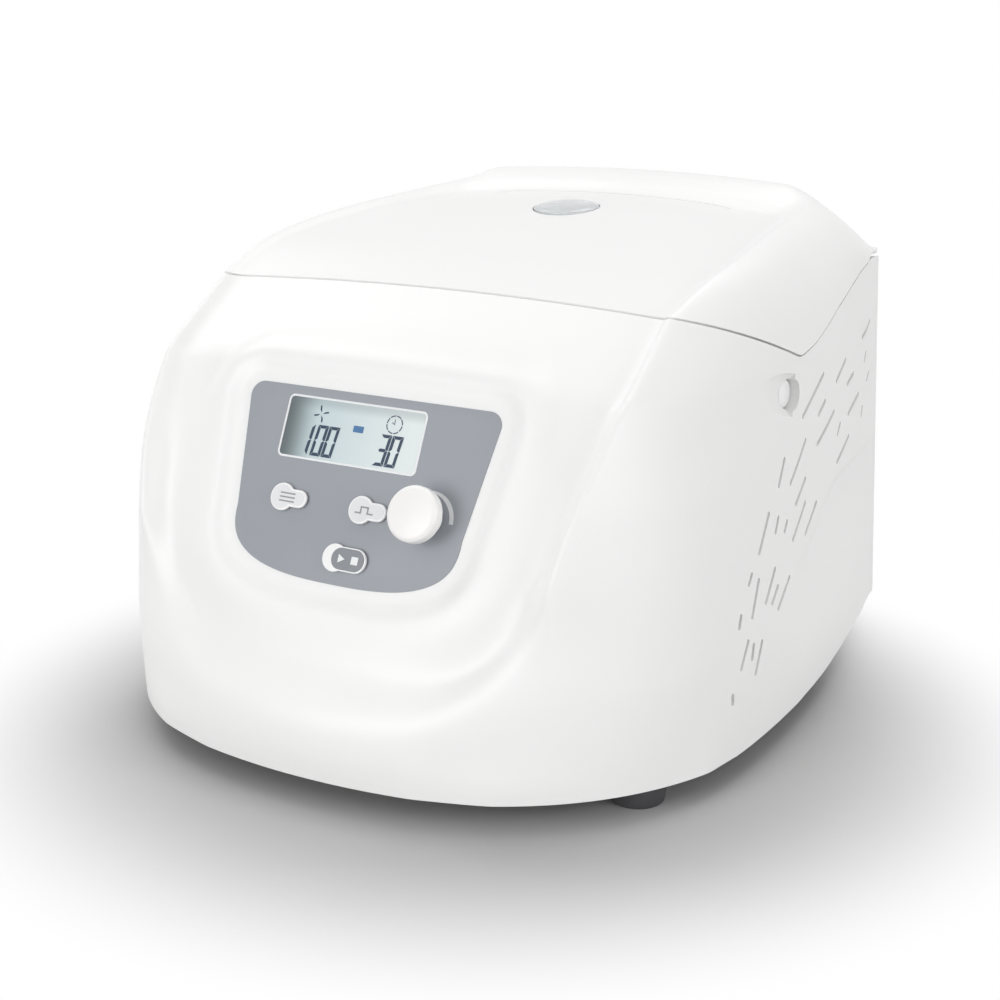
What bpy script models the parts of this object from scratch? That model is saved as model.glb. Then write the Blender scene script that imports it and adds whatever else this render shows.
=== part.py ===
"""High-speed bench centrifuge with a rear-hinged lid.

A moulded housing wraps round the front and sides. Its front is a sunk tongue with raised rims,
which runs on over the lid. A motor on rubber mounts drives a fixed-angle rotor in a steel bowl.
Metres, +Z up, front towards -Y. The origin is on the bench, under the middle of the object.
"""
import math

import bmesh
import bpy
from mathutils import Matrix, Vector
from mathutils.bvhtree import BVHTree

# Overall sizes
WIDTH = 0.280
DEPTH = 0.326
HEIGHT = 0.206
HALF_WIDTH = WIDTH / 2
DECK_HEIGHT_SHARE = 0.6699
DECK_HEIGHT = HEIGHT * DECK_HEIGHT_SHARE
FOOT_HEIGHT = 0.011
WALL = 0.003
SEAT_GAP = 0.0003
LID_GAP = 0.0015
LID_FRONT_GAP = 0.0016
PART_GAP = 0.0006
CUT_OVERRUN = 0.002
SIDE_DRAFT_SHARE = 0.04

# Guide lines of the housing front, each point a share of half the width, the depth and the height.
# One row runs round the housing from the middle of the front to the edge of the side panel.
CENTRE_SHARES = (
    (0.000, 0.000), (-0.006, 0.078), (-0.006, 0.141), (0.026, 0.168), (0.055, 0.252), (0.081, 0.335),
    (0.106, 0.422), (0.132, 0.510), (0.158, 0.592), (0.184, 0.675), (0.204, 0.738), (0.331, 0.845),
)
FLOOR_SHARES = (
    (0.357, 0.015, 0.000), (0.371, 0.012, 0.087), (0.400, 0.015, 0.160), (0.429, 0.046, 0.184),
    (0.586, 0.083, 0.257), (0.621, 0.095, 0.340), (0.650, 0.107, 0.417), (0.671, 0.129, 0.505),
    (0.700, 0.153, 0.592), (0.721, 0.190, 0.680), (0.739, 0.221, 0.723), (0.732, 0.319, 0.833),
)
CREASE_SHARES = (
    (0.536, 0.040, 0.000), (0.571, 0.038, 0.117), (0.600, 0.041, 0.204), (0.614, 0.044, 0.243),
    (0.643, 0.057, 0.320), (0.668, 0.069, 0.393), (0.689, 0.083, 0.461), (0.714, 0.104, 0.544),
    (0.739, 0.135, 0.621), (0.761, 0.178, 0.704), (0.764, 0.211, 0.743), (0.754, 0.304, 0.842),
)
CHEEK_SHARES = (
    (0.907, 0.166, 0.000), (0.921, 0.169, 0.078), (0.936, 0.175, 0.165), (0.939, 0.181, 0.214),
    (0.946, 0.190, 0.291), (0.954, 0.199, 0.369), (0.957, 0.212, 0.442), (0.957, 0.230, 0.524),
    (0.950, 0.255, 0.602), (0.943, 0.294, 0.689), (0.940, 0.320, 0.735), (0.921, 0.371, 0.811),
)
EDGE_SHARES = (
    (0.261, 0.000), (0.279, 0.087), (0.301, 0.204), (0.313, 0.262), (0.331, 0.340), (0.350, 0.408),
    (0.374, 0.471), (0.411, 0.539), (0.451, 0.592), (0.494, 0.636), (0.509, 0.684), (0.515, 0.723),
)
REAR_EDGE_SHARES = (
    0.000, 0.070, 0.160, 0.220, 0.310, 0.400, 0.480, 0.570, 0.660, 0.782, 0.806, 0.832,
)
SIDE_BOW_SHARES = (0.0, 0.0, 0.0, 0.0, 0.0, 0.005, 0.012, 0.02, 0.03, 0.042, 0.03, 0.014)
SIDE_PLAN_SHARES = (
    (0.262, 0.975), (0.328, 0.995), (0.442, 1.000), (0.549, 0.988), (0.699, 0.948), (0.902, 0.872),
    (1.000, 0.828),
)

# Guide lines of the lid, from its front seam to its rear edge, in the same shares.
LID_CENTRE_SHARES = (
    (0.331, 0.845), (0.414, 0.883), (0.506, 0.913), (0.583, 0.934), (0.650, 0.949), (0.724, 0.956),
    (0.790, 0.956), (0.822, 0.981), (0.865, 0.998), (0.920, 0.988), (0.968, 0.948), (0.988, 0.845),
)
LID_FLOOR_SHARES = (
    (0.732, 0.319, 0.833), (0.743, 0.405, 0.876), (0.736, 0.491, 0.898), (0.707, 0.583, 0.913),
    (0.679, 0.656, 0.922), (0.650, 0.730, 0.927), (0.607, 0.788, 0.932), (0.586, 0.822, 0.961),
    (0.571, 0.865, 0.985), (0.543, 0.917, 0.971), (0.536, 0.963, 0.922), (0.536, 0.988, 0.842),
)
LID_CREASE_SHARES = (
    (0.754, 0.304, 0.842), (0.771, 0.399, 0.891), (0.764, 0.491, 0.915), (0.739, 0.589, 0.932),
    (0.714, 0.669, 0.942), (0.693, 0.745, 0.949), (0.671, 0.804, 0.956), (0.643, 0.844, 0.963),
    (0.614, 0.880, 0.968), (0.600, 0.926, 0.947), (0.600, 0.966, 0.903), (0.600, 0.988, 0.840),
)
LID_SHOULDER_SHARES = (
    (0.921, 0.371, 0.811), (0.936, 0.445, 0.854), (0.929, 0.509, 0.893), (0.914, 0.583, 0.913),
    (0.893, 0.663, 0.922), (0.871, 0.745, 0.927), (0.850, 0.822, 0.922), (0.829, 0.868, 0.908),
    (0.800, 0.911, 0.883), (0.786, 0.945, 0.859), (0.757, 0.972, 0.845), (0.714, 0.988, 0.836),
)
LID_SEAM_SHARES = (
    (0.515, 0.723), (0.546, 0.726), (0.583, 0.733), (0.632, 0.750), (0.693, 0.772), (0.761, 0.791),
    (0.828, 0.806), (0.883, 0.816), (0.920, 0.823), (0.951, 0.828), (0.975, 0.830), (0.988, 0.832),
)
SIDE_PLACE_SHARES = (0.14, 0.32, 0.55, 0.78, 1.00)
LEVEL_EDGE_SHARE = 0.35
REAR_CORNER_SHARE = 0.815
ROW_STEPS = 2
HOUSING_PLACES = (0, 0.5, 1, 1.5, 2, 2.5, 3, 4, 5, 6, 7, 8, 9, 10, 10.5, 11)
LID_PLACES = (0, 1, 2, 3, 4, 5, 5.5, 6, 6.5, 7, 7.5, 8, 8.5, 9, 9.5, 10, 10.5, 11)
MITRE_LIMIT_SHARE = 0.5
CHEEK_STEPS = 4
FLOOR_STEPS = 3

# Control panel: a tilted plane in the sunk tongue
PANEL_SLOPE_SHARE = 0.2947
PANEL_TILT = math.atan(PANEL_SLOPE_SHARE * DEPTH / HEIGHT)
PANEL_MIDDLE_Y_SHARE = 0.1319
PANEL_MIDDLE_Z_SHARE = 0.5073
PANEL_TOP_SHARE = 0.4214
PANEL_SIDE_SHARE = 0.3786
PANEL_LENGTH_SHARE = 0.3689
PANEL_TOP_HALF_WIDTH = HALF_WIDTH * PANEL_TOP_SHARE
PANEL_SIDE_HALF_WIDTH = HALF_WIDTH * PANEL_SIDE_SHARE
PANEL_LENGTH = HEIGHT * PANEL_LENGTH_SHARE
PANEL_SHOULDER_SHARE = 0.17
PANEL_TOP_RADIUS = 0.006
PANEL_CORNER_STEPS = 3
PANEL_SWEEP_STEPS = 8
PANEL_SWEEP_SHARE = 0.72
PANEL_SEAT = 0.0050
PANEL_POCKET_GAP = 0.0004
PANEL_THICKNESS = 0.0012
PANEL_WINDOW_MARGIN = 0.0005
SURROUND_REACH = 0.0100
SURROUND_HEIGHT = 0.0018
SCREEN_WIDTH = 0.0642
SCREEN_LENGTH = 0.0240
SCREEN_X_SHARE = -0.0536
SCREEN_X = HALF_WIDTH * SCREEN_X_SHARE
SCREEN_TOP_MARGIN = 0.0045
SCREEN_UP = PANEL_LENGTH / 2 - SCREEN_LENGTH / 2 - SCREEN_TOP_MARGIN
SCREEN_THICKNESS = 0.0016
MODULE_MARGIN = 0.0040
KEY_RADIUS = 0.0056
KEY_TRAVEL = 0.0007
KEY_HEIGHT = 0.0022
KEY_STEM_RADIUS = 0.0022
KEY_ROW_UP = -0.0075
KEY_LEFT_SHARE = -0.2229
KEY_MIDDLE_SHARE = 0.0464
KEY_LEFT_X = HALF_WIDTH * KEY_LEFT_SHARE
KEY_MIDDLE_X = HALF_WIDTH * KEY_MIDDLE_SHARE
KEY_LOWER_X = -0.0005
KEY_LOWER_MARGIN = 0.0105
KEY_LOWER_UP = KEY_LOWER_MARGIN - PANEL_LENGTH / 2
KEY_SWITCH_WIDTH = 0.0060
KEY_SWITCH_HEIGHT = 0.0035
KEY_FILLET = 0.0006
KEY_SEGMENTS = 20
KNOB_RADIUS = 0.0120
KNOB_HEIGHT = 0.0170
KNOB_FILLET = 0.0022
KNOB_FILLET_STEPS = 3
KNOB_DRAFT_SHARE = 0.97
KNOB_X_SHARE = 0.2607
KNOB_X = HALF_WIDTH * KNOB_X_SHARE
KNOB_UP = -0.0065
KNOB_LIFT = 0.0008
KNOB_BORE_RADIUS = 0.0033
KNOB_BORE_DEPTH = 0.0120
ENCODER_WIDTH = 0.0130
ENCODER_HEIGHT = 0.0065
ENCODER_BUSH_RADIUS = 0.0036
ENCODER_SHAFT_RADIUS = 0.0030
BOARD_THICKNESS = 0.0016
BOARD_LENGTH_SHARE = 0.7895
BOARD_LENGTH = PANEL_LENGTH * BOARD_LENGTH_SHARE
BOARD_BEHIND = 0.0140
BOARD_UP = -0.0020
BOARD_POST_RADIUS = 0.0028
BOARD_POST_INSET = 0.0042
BOARD_POST_GAP = 0.0014
BOARD_POST_X = (SCREEN_WIDTH + MODULE_MARGIN) / 2 - SCREEN_X + BOARD_POST_GAP + BOARD_POST_RADIUS
BOARD_WIDTH = 2 * (BOARD_POST_X + BOARD_POST_INSET)

# Lid release: a push button in a scoop of the right cheek, and the latch behind it
BUTTON_RADIUS = 0.0062
BUTTON_SEGMENTS = 20
BUTTON_FILLET = 0.0010
BUTTON_ROD_RADIUS = 0.0014
BUTTON_Y_SHARE = 0.4969
BUTTON_DROP = 0.0050
BUTTON_CHEEK_SHARE = 0.9517
BUTTON_SUNK = 0.0032
BUTTON_Y = DEPTH * BUTTON_Y_SHARE
BUTTON_Z = DECK_HEIGHT - BUTTON_DROP
BUTTON_CHEEK_X = HALF_WIDTH * BUTTON_CHEEK_SHARE
BUTTON_FACE_X = BUTTON_CHEEK_X - BUTTON_SUNK
BUTTON_TRAVEL = 0.0030
BUTTON_CLEARANCE = 0.0007
BUTTON_FLANGE = 0.0016
SCOOP_RADIUS = 0.0100
SCOOP_WALL = 0.0018
SCOOP_DEPTH = 0.0045
SCOOP_BOSS_MARGIN = 0.0009
SPRING_WIRE = 0.0007
SPRING_RADIUS = 0.0034
SPRING_TURNS = 4
SPRING_POINTS_PER_TURN = 10
SPRING_SIDES = 5
LATCH_LENGTH = 0.0130
LATCH_WIDTH = 0.0220
LATCH_ARM_WIDTH = 0.0024
LATCH_WELL_GAP = 0.0022
LATCH_HEIGHT = 0.0200
LATCH_LID = 0.0018
BOLT_THICKNESS = 0.0030
BOLT_WIDTH = 0.0140
BOLT_TAIL = 0.0020
HOOK_X_SHARE = 0.7395
HOOK_X = HALF_WIDTH * HOOK_X_SHARE
HOOK_WIDTH = 0.0060
HOOK_THICKNESS = 0.0030
HOOK_REACH = 0.0040
HOOK_NOSE = 0.0024
HOOK_NOSE_GAP = 0.0004
HOOK_SLOT_GAP = 0.0035

# Hinge at the rear
HINGE_Y_BEHIND = 0.0062
HINGE_PIN_RADIUS = 0.0020
HINGE_BARREL_RADIUS = 0.0046
HINGE_X_SHARE = 0.4429
HINGE_X = HALF_WIDTH * HINGE_X_SHARE
HINGE_ARM_WIDTH = 0.0160
HINGE_CHEEK_WIDTH = 0.0070
HINGE_PLATE_THICKNESS = 0.0030
HINGE_PLATE_HEIGHT = 0.0240
HINGE_PIN_HEAD = 0.0012
HINGE_ARM_GAP = 0.0002
HINGE_ARC_STEPS = 5
ARM_ARC_START = math.radians(60.0)
ARM_ARC_END = math.radians(-150.0)
BRACKET_ARC_START = math.radians(-30.0)

# Chamber, rotor and drive
BOWL_Y_SHARE = 0.650
BOWL_ROOM_SHARE = 0.4295
BOWL_RADIUS_SHARE = 0.643
BOWL_RADIUS = BOWL_RADIUS_SHARE * min(HALF_WIDTH, DEPTH * BOWL_ROOM_SHARE)
BOWL_WALL = 0.0014
BOWL_CORNER = 0.0120
BOWL_FLOOR_RADIUS = BOWL_RADIUS - BOWL_CORNER
BOWL_DEPTH_SHARE = 0.5652
BOWL_DEPTH = DECK_HEIGHT * BOWL_DEPTH_SHARE
BOWL_HOLE_RADIUS = 0.0200
BOWL_FLANGE = 0.0060
BOWL_FILLET_STEPS = 3
BOWL_SEGMENTS = 32
DECK_THICKNESS = 0.0026
DECK_DROP_SHARE = 0.13
DECK_MARGIN = 0.0006
DECK_SEGMENTS = 48
GASKET_WIDTH = 0.0050
GASKET_HEIGHT = 0.0060
LINER_REACH = 0.0035
LINER_RADIUS = BOWL_RADIUS + LINER_REACH
LINER_THICKNESS = 0.0025
LINER_RIM_HEIGHT = 0.0110
LINER_POST_RADIUS = 0.0040
LINER_POST_X_SHARE = 0.778
LINER_POST_Y_SHARE = 0.611
LINER_POST_X = BOWL_RADIUS * LINER_POST_X_SHARE
LINER_POST_Y = BOWL_RADIUS * LINER_POST_Y_SHARE
ROTOR_SHARE = 0.80
ROTOR_HEIGHT_SHARE = 0.5385
ROTOR_TOP_SHARE = 0.4167
ROTOR_HUB_SHARE = 0.25
ROTOR_LIFT_SHARE = 0.1538
ROTOR_RADIUS = BOWL_RADIUS * ROTOR_SHARE
ROTOR_HEIGHT = BOWL_DEPTH * ROTOR_HEIGHT_SHARE
ROTOR_TOP_RADIUS = ROTOR_RADIUS * ROTOR_TOP_SHARE
ROTOR_HUB_RADIUS = ROTOR_RADIUS * ROTOR_HUB_SHARE
ROTOR_HUB_RISE = 0.0060
ROTOR_LIFT = BOWL_DEPTH * ROTOR_LIFT_SHARE
ROTOR_BASE_SHARE = 0.62
ROTOR_WAIST_SHARE = 0.43
ROTOR_BAND = 0.0060
TUBE_COUNT = 12
TUBE_RADIUS = 0.0057
TUBE_RING_SHARE = 0.5833
TUBE_RING_RADIUS = ROTOR_RADIUS * TUBE_RING_SHARE
TUBE_SEGMENTS = 12
TUBE_TILT = math.radians(45.0)
TUBE_DEPTH = 0.0250
NUT_RADIUS = 0.0110
NUT_HEIGHT = 0.0120
SHAFT_RADIUS = 0.0050
SHAFT_CONE_RADIUS = 0.0085
SHAFT_COLLAR = 0.0040
SHAFT_COLLAR_GAP = 0.0020
SHAFT_REACH_SHARE = 0.6667
SHAFT_REACH = ROTOR_HEIGHT * SHAFT_REACH_SHARE
MOTOR_RADIUS_SHARE = 0.4444
MOTOR_RADIUS = BOWL_RADIUS * MOTOR_RADIUS_SHARE
MOTOR_TOP_GAP = 0.0004
MOTOR_NECK_RADIUS = 0.0150
MOTOR_NECK_HEIGHT = 0.0060
MOTOR_PLATE_MARGIN = 0.0220
MOTOR_PLATE_RADIUS = MOTOR_RADIUS + MOTOR_PLATE_MARGIN
MOTOR_PLATE_THICKNESS = 0.0030
DAMPER_RADIUS = 0.0085
DAMPER_HEIGHT = 0.0110
DAMPER_INSET = 0.0100
DAMPER_RING_RADIUS = MOTOR_PLATE_RADIUS - DAMPER_INSET
DAMPER_COUNT = 3
DAMPER_WAIST_SHARE = 0.75

# Base, feet, rear panel and what it carries
BASE_THICKNESS = 0.0030
FOOT_RADIUS = 0.0115
FOOT_X_SHARE = 0.80
FOOT_FRONT_SHARE = 0.2147
FOOT_REAR_SHARE = 0.9049
FOOT_REAR_X_SHARE = 0.679
FOOT_X = HALF_WIDTH * FOOT_X_SHARE
FOOT_FRONT_Y = DEPTH * FOOT_FRONT_SHARE
FOOT_REAR_Y = DEPTH * FOOT_REAR_SHARE
FOOT_REAR_X = HALF_WIDTH * FOOT_REAR_X_SHARE
FOOT_TAPER_SHARE = 0.86
FOOT_SCREW_RADIUS = 0.0035
FOOT_SEGMENTS = 20
REAR_THICKNESS = 0.0025
REAR_MARGIN = 0.0008
REAR_TOP_GAP = 0.0015
FAN_SIZE = 0.0600
FAN_THICKNESS = 0.0150
FAN_X_SHARE = -0.3214
FAN_Z_SHARE = 0.301
FAN_X = HALF_WIDTH * FAN_X_SHARE
FAN_Z = HEIGHT * FAN_Z_SHARE
FAN_BORE_RADIUS = 0.0275
FAN_HUB_RADIUS = 0.0110
FAN_BLADE_COUNT = 7
FAN_HUB_SHARE = 0.25
FAN_BLADE_WIDTH_SHARE = 1.0
FAN_BLADE_GAP = 0.0012
FAN_BLADE_THICKNESS = 0.0012
FAN_BLADE_PITCH = math.radians(38.0)
FAN_STRUT_WIDTH = 0.0035
GRILLE_SLOT = 0.0034
GRILLE_PITCH = 0.0070
GRILLE_COUNT = 7
INLET_X_SHARE = 0.50
INLET_Z_SHARE = 0.2913
INLET_X = HALF_WIDTH * INLET_X_SHARE
INLET_Z = HEIGHT * INLET_Z_SHARE
INLET_WIDTH = 0.0270
INLET_HEIGHT = 0.0200
INLET_DEPTH = 0.0180
INLET_FLANGE = 0.0030
INLET_FLANGE_THICKNESS = 0.0022
INLET_WALL = 0.0020
INLET_PIN_WIDTH = 0.0020
INLET_PIN_HEIGHT = 0.0040
INLET_PIN_LENGTH = 0.0120
INLET_PIN_PITCH = 0.0070
SWITCH_LIFT = 0.0300
SWITCH_Z = INLET_Z + SWITCH_LIFT
SWITCH_WIDTH = 0.0190
SWITCH_HEIGHT = 0.0165
SWITCH_DEPTH = 0.0140
SWITCH_WALL = 0.0016
ROCKER_TILT = math.radians(10.0)
ROCKER_PROUD = 0.0030
FUSE_DROP = 0.0250
FUSE_Z = INLET_Z - FUSE_DROP
FUSE_WIDTH = 0.0220
FUSE_HEIGHT = 0.0090
FUSE_DEPTH = 0.0160
POWER_BOARD_WIDTH_SHARE = 0.7857
POWER_BOARD_WIDTH = HALF_WIDTH * POWER_BOARD_WIDTH_SHARE
POWER_BOARD_LENGTH = 0.0560
POWER_BOARD_X_SHARE = -0.107
POWER_BOARD_Y_SHARE = 0.2209
POWER_BOARD_X = HALF_WIDTH * POWER_BOARD_X_SHARE
POWER_BOARD_Y = DEPTH * POWER_BOARD_Y_SHARE
POWER_BOARD_STANDOFF = 0.0070
TRANSFORMER_SIZE = 0.0300
CAPACITOR_RADIUS = 0.0090
CAPACITOR_HEIGHT = 0.0260

# Sight glass in the lid
GLASS_RADIUS = 0.0150
GLASS_Y_SHARE = 0.650
GLASS_DOME = 0.0012
GLASS_RING_WIDTH = 0.0030
GLASS_RING_HEIGHT = 0.0060
GLASS_RING_GAP = 0.0011

# Air slits of the side panels: each one's upper and lower end, as shares of the depth and the height
SLIT_WIDTH = 0.0016
SLIT_CUT_DEPTH = 0.0090
SLIT_SHARES = (
    ((0.46, 0.54), (0.44, 0.49)), ((0.54, 0.55), (0.48, 0.48)), ((0.54, 0.47), (0.50, 0.43)),
    ((0.41, 0.45), (0.38, 0.38)), ((0.44, 0.43), (0.43, 0.40)), ((0.47, 0.41), (0.46, 0.39)),
    ((0.54, 0.42), (0.49, 0.36)), ((0.59, 0.40), (0.54, 0.35)), ((0.36, 0.35), (0.35, 0.33)),
    ((0.38, 0.33), (0.36, 0.26)), ((0.43, 0.33), (0.40, 0.27)), ((0.44, 0.29), (0.42, 0.26)),
    ((0.48, 0.29), (0.44, 0.24)), ((0.33, 0.28), (0.325, 0.255)), ((0.35, 0.22), (0.33, 0.17)),
    ((0.365, 0.205), (0.36, 0.175)), ((0.39, 0.20), (0.37, 0.14)), ((0.31, 0.13), (0.31, 0.11)),
    ((0.62, 0.66), (0.525, 0.60)), ((0.75, 0.65), (0.69, 0.62)), ((0.81, 0.60), (0.76, 0.59)),
    ((0.94, 0.56), (0.91, 0.55)), ((0.63, 0.60), (0.595, 0.58)), ((0.68, 0.56), (0.59, 0.52)),
    ((0.85, 0.54), (0.77, 0.52)), ((0.88, 0.50), (0.87, 0.48)), ((0.72, 0.52), (0.70, 0.50)),
    ((0.78, 0.47), (0.70, 0.44)), ((0.94, 0.68), (0.87, 0.66)), ((0.90, 0.62), (0.89, 0.60)),
)

ROUND_SEGMENTS = 32
SMALL_SEGMENTS = 16
TINY_SEGMENTS = 10
SHARP_ANGLE = math.radians(35.0)

FRONT_Y = DEPTH * CENTRE_SHARES[2][0]
REAR_Y = DEPTH + HINGE_Y_BEHIND + HINGE_BARREL_RADIUS
MIDDLE_Y = (FRONT_Y + REAR_Y) / 2
SHIFT = Vector((0.0, -MIDDLE_Y, FOOT_HEIGHT))
BOWL_Y = DEPTH * BOWL_Y_SHARE
PANEL_NORMAL = Vector((0.0, -math.cos(PANEL_TILT), math.sin(PANEL_TILT)))
PANEL_UP = Vector((0.0, math.sin(PANEL_TILT), math.cos(PANEL_TILT)))
RIGHT = Vector((1.0, 0.0, 0.0))
FORWARD = Vector((0.0, 1.0, 0.0))
UP = Vector((0.0, 0.0, 1.0))
HINGE_AXIS_Y = DEPTH + HINGE_Y_BEHIND
HINGE_AXIS_Z = HEIGHT * LID_SEAM_SHARES[-1][1]
PANEL_MIDDLE = Vector((0.0, DEPTH * PANEL_MIDDLE_Y_SHARE, HEIGHT * PANEL_MIDDLE_Z_SHARE))


def clear_scene():
    for item in list(bpy.data.objects):
        bpy.data.objects.remove(item, do_unlink=True)


def make_material(name, colour, roughness, metallic=0.0):
    look = bpy.data.materials.new(name)
    look.use_nodes = True
    shader = look.node_tree.nodes["Principled BSDF"]
    shader.inputs["Base Color"].default_value = (*colour, 1.0)
    shader.inputs["Roughness"].default_value = roughness
    shader.inputs["Metallic"].default_value = metallic
    return look


def make_materials():
    return {
        "white": make_material("white_plastic", (0.88, 0.88, 0.87), 0.28),
        "grey": make_material("panel_grey", (0.33, 0.35, 0.37), 0.55),
        "dark": make_material("dark_plastic", (0.05, 0.05, 0.055), 0.45),
        "rubber": make_material("rubber", (0.06, 0.06, 0.065), 0.8),
        "steel": make_material("steel", (0.62, 0.62, 0.63), 0.3, 1.0),
        "alloy": make_material("rotor_alloy", (0.55, 0.56, 0.58), 0.35, 1.0),
        "glass": make_material("glass", (0.75, 0.82, 0.85), 0.05),
        "screen": make_material("screen", (0.55, 0.66, 0.72), 0.15),
        "board": make_material("board_green", (0.02, 0.20, 0.09), 0.5),
        "liner": make_material("liner_grey", (0.72, 0.73, 0.73), 0.5),
    }


def add_object(name, mesh_data, look, pivot=None):
    """Make one object of a bmesh in body coordinates, its origin at the pivot."""
    origin = SHIFT + pivot if pivot is not None else Vector((0.0, 0.0, 0.0))
    bmesh.ops.translate(mesh_data, verts=mesh_data.verts, vec=SHIFT - origin)
    bmesh.ops.recalc_face_normals(mesh_data, faces=mesh_data.faces)
    mesh = bpy.data.meshes.new(name)
    mesh_data.to_mesh(mesh)
    mesh_data.free()
    mesh.shade_smooth()
    mesh.set_sharp_from_angle(angle=SHARP_ANGLE)
    mesh.materials.append(look)
    item = bpy.data.objects.new(name, mesh)
    item.location = origin
    bpy.context.scene.collection.objects.link(item)
    return item


def join(*parts):
    """Put several bmeshes into one, without joining their surfaces."""
    merged = bmesh.new()
    for part in parts:
        mesh = bpy.data.meshes.new("joined")
        part.to_mesh(mesh)
        part.free()
        merged.from_mesh(mesh)
        bpy.data.meshes.remove(mesh)
    return merged


def temporary_object(part):
    bmesh.ops.recalc_face_normals(part, faces=part.faces)
    mesh = bpy.data.meshes.new("temporary")
    part.to_mesh(mesh)
    item = bpy.data.objects.new("temporary", mesh)
    bpy.context.scene.collection.objects.link(item)
    return item


def boolean(body, tool, operation):
    """Return body with tool added or cut away, and free both."""
    body_object = temporary_object(body)
    tool_object = temporary_object(tool)
    modifier = body_object.modifiers.new("cut", "BOOLEAN")
    modifier.operation = operation
    modifier.solver = "EXACT"
    modifier.object = tool_object
    graph = bpy.context.evaluated_depsgraph_get()
    evaluated = body_object.evaluated_get(graph)
    result = bmesh.new()
    result.from_mesh(evaluated.to_mesh())
    evaluated.to_mesh_clear()
    for item in (body_object, tool_object):
        mesh = item.data
        bpy.data.objects.remove(item, do_unlink=True)
        bpy.data.meshes.remove(mesh)
    body.free()
    tool.free()
    return result


def cut(body, *tools):
    return boolean(body, join(*tools), "DIFFERENCE")


def unite(body, *tools):
    for tool in tools:
        body = boolean(body, tool, "UNION")
    return body


def prism(outline, origin, across, up, height):
    """Extrude a closed outline of (across, up) points along across x up."""
    part = bmesh.new()
    normal = across.cross(up)
    points = [origin + across * a + up * b for a, b in outline]
    face = part.faces.new([part.verts.new(point) for point in points])
    grown = bmesh.ops.extrude_face_region(part, geom=[face])
    moved = [item for item in grown["geom"] if isinstance(item, bmesh.types.BMVert)]
    bmesh.ops.translate(part, verts=moved, vec=normal * height)
    bmesh.ops.recalc_face_normals(part, faces=part.faces)
    return part


def box(low, high):
    width = high[0] - low[0]
    length = high[1] - low[1]
    outline = [(0.0, 0.0), (width, 0.0), (width, length), (0.0, length)]
    return prism(outline, Vector(low), RIGHT, Vector((0.0, 1.0, 0.0)), high[2] - low[2])


def centred_box(centre, size):
    half = Vector(size) / 2
    return box(Vector(centre) - half, Vector(centre) + half)


def rectangle(width, height):
    x = width / 2
    y = height / 2
    return [(-x, -y), (x, -y), (x, y), (-x, y)]


def circle(radius, segments, middle=(0.0, 0.0)):
    step = math.tau / segments
    return [
        (middle[0] + radius * math.cos(step * i), middle[1] + radius * math.sin(step * i))
        for i in range(segments)
    ]


def side_axes(axis):
    """Two directions square to an axis, in right-handed order with it."""
    helper = Vector((0.0, 0.0, 1.0)) if abs(axis.z) < math.cos(math.pi / 4) else RIGHT
    across = helper.cross(axis).normalized()
    return across, axis.cross(across)


def cylinder(radius, start, axis, length, segments=SMALL_SEGMENTS):
    across, up = side_axes(axis)
    return prism(circle(radius, segments), start, across, up, length)


def lathe(profile, start, axis, segments=ROUND_SEGMENTS):
    """Turn a closed outline of (radius, height) points about an axis."""
    across, up = side_axes(axis)
    part = bmesh.new()
    rings = []
    for radius, height in profile:
        middle = start + axis * height
        if radius == 0.0:
            rings.append([part.verts.new(middle)])
            continue
        ring = []
        for a, b in circle(radius, segments):
            ring.append(part.verts.new(middle + across * a + up * b))
        rings.append(ring)
    pairs = list(zip(rings, rings[1:]))
    if len(rings[0]) > 1:
        pairs.append((rings[-1], rings[0]))
    for first, second in pairs:
        for i in range(segments):
            j = (i + 1) % segments
            corners = [first[i % len(first)], first[j % len(first)]]
            corners += [second[j % len(second)], second[i % len(second)]]
            unique = list(dict.fromkeys(corners))
            if len(unique) > 2:
                part.faces.new(unique)
    bmesh.ops.recalc_face_normals(part, faces=part.faces)
    return part


def grid_surface(rows):
    """An open surface through rows of points."""
    part = bmesh.new()
    lines = [[part.verts.new(point) for point in row] for row in rows]
    for low, high in zip(lines, lines[1:]):
        for i in range(len(low) - 1):
            part.faces.new([low[i], low[i + 1], high[i + 1], high[i]])
    part.normal_update()
    return part


def thicken(part, wall, level_edges=False):
    """Give an open surface a wall on its inner side, upright at the front seam and level on request."""
    border = [edge for edge in part.edges if edge.is_boundary]
    faces = list(part.faces)
    part.normal_update()
    inner = {}
    for vert in list(part.verts):
        point = vert.co - vert.normal * wall * vert.calc_shell_factor()
        if vert.is_boundary and vert.normal.z > LEVEL_EDGE_SHARE and vert.normal.y < 0.0:
            point.y = vert.co.y
        elif vert.is_boundary and level_edges:
            point.z = vert.co.z
        inner[vert] = part.verts.new(point)
    for face in faces:
        part.faces.new([inner[vert] for vert in reversed(face.verts)])
    for edge in border:
        a, b = edge.verts
        part.faces.new([a, b, inner[b], inner[a]])
    bmesh.ops.recalc_face_normals(part, faces=part.faces)
    return part


def between(first, second, share):
    return first + (second - first) * share


def catmull(table, place):
    """A smooth value at a place between the rows of a table of points."""
    last = len(table) - 1
    index = min(int(place), last - 1)
    share = place - index
    before = table[max(index - 1, 0)]
    start = table[index]
    end = table[index + 1]
    after = table[min(index + 2, last)]
    values = []
    for p0, p1, p2, p3 in zip(before, start, end, after):
        slope_in = (p2 - p0) / 2
        slope_out = (p3 - p1) / 2
        square = share * share
        cube = square * share
        value = (2 * cube - 3 * square + 1) * p1 + (cube - 2 * square + share) * slope_in
        value += (3 * square - 2 * cube) * p2 + (cube - square) * slope_out
        values.append(value)
    return values


def scaled(point):
    return Vector((point[0] * HALF_WIDTH, point[1] * DEPTH, point[2] * HEIGHT))


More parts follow.
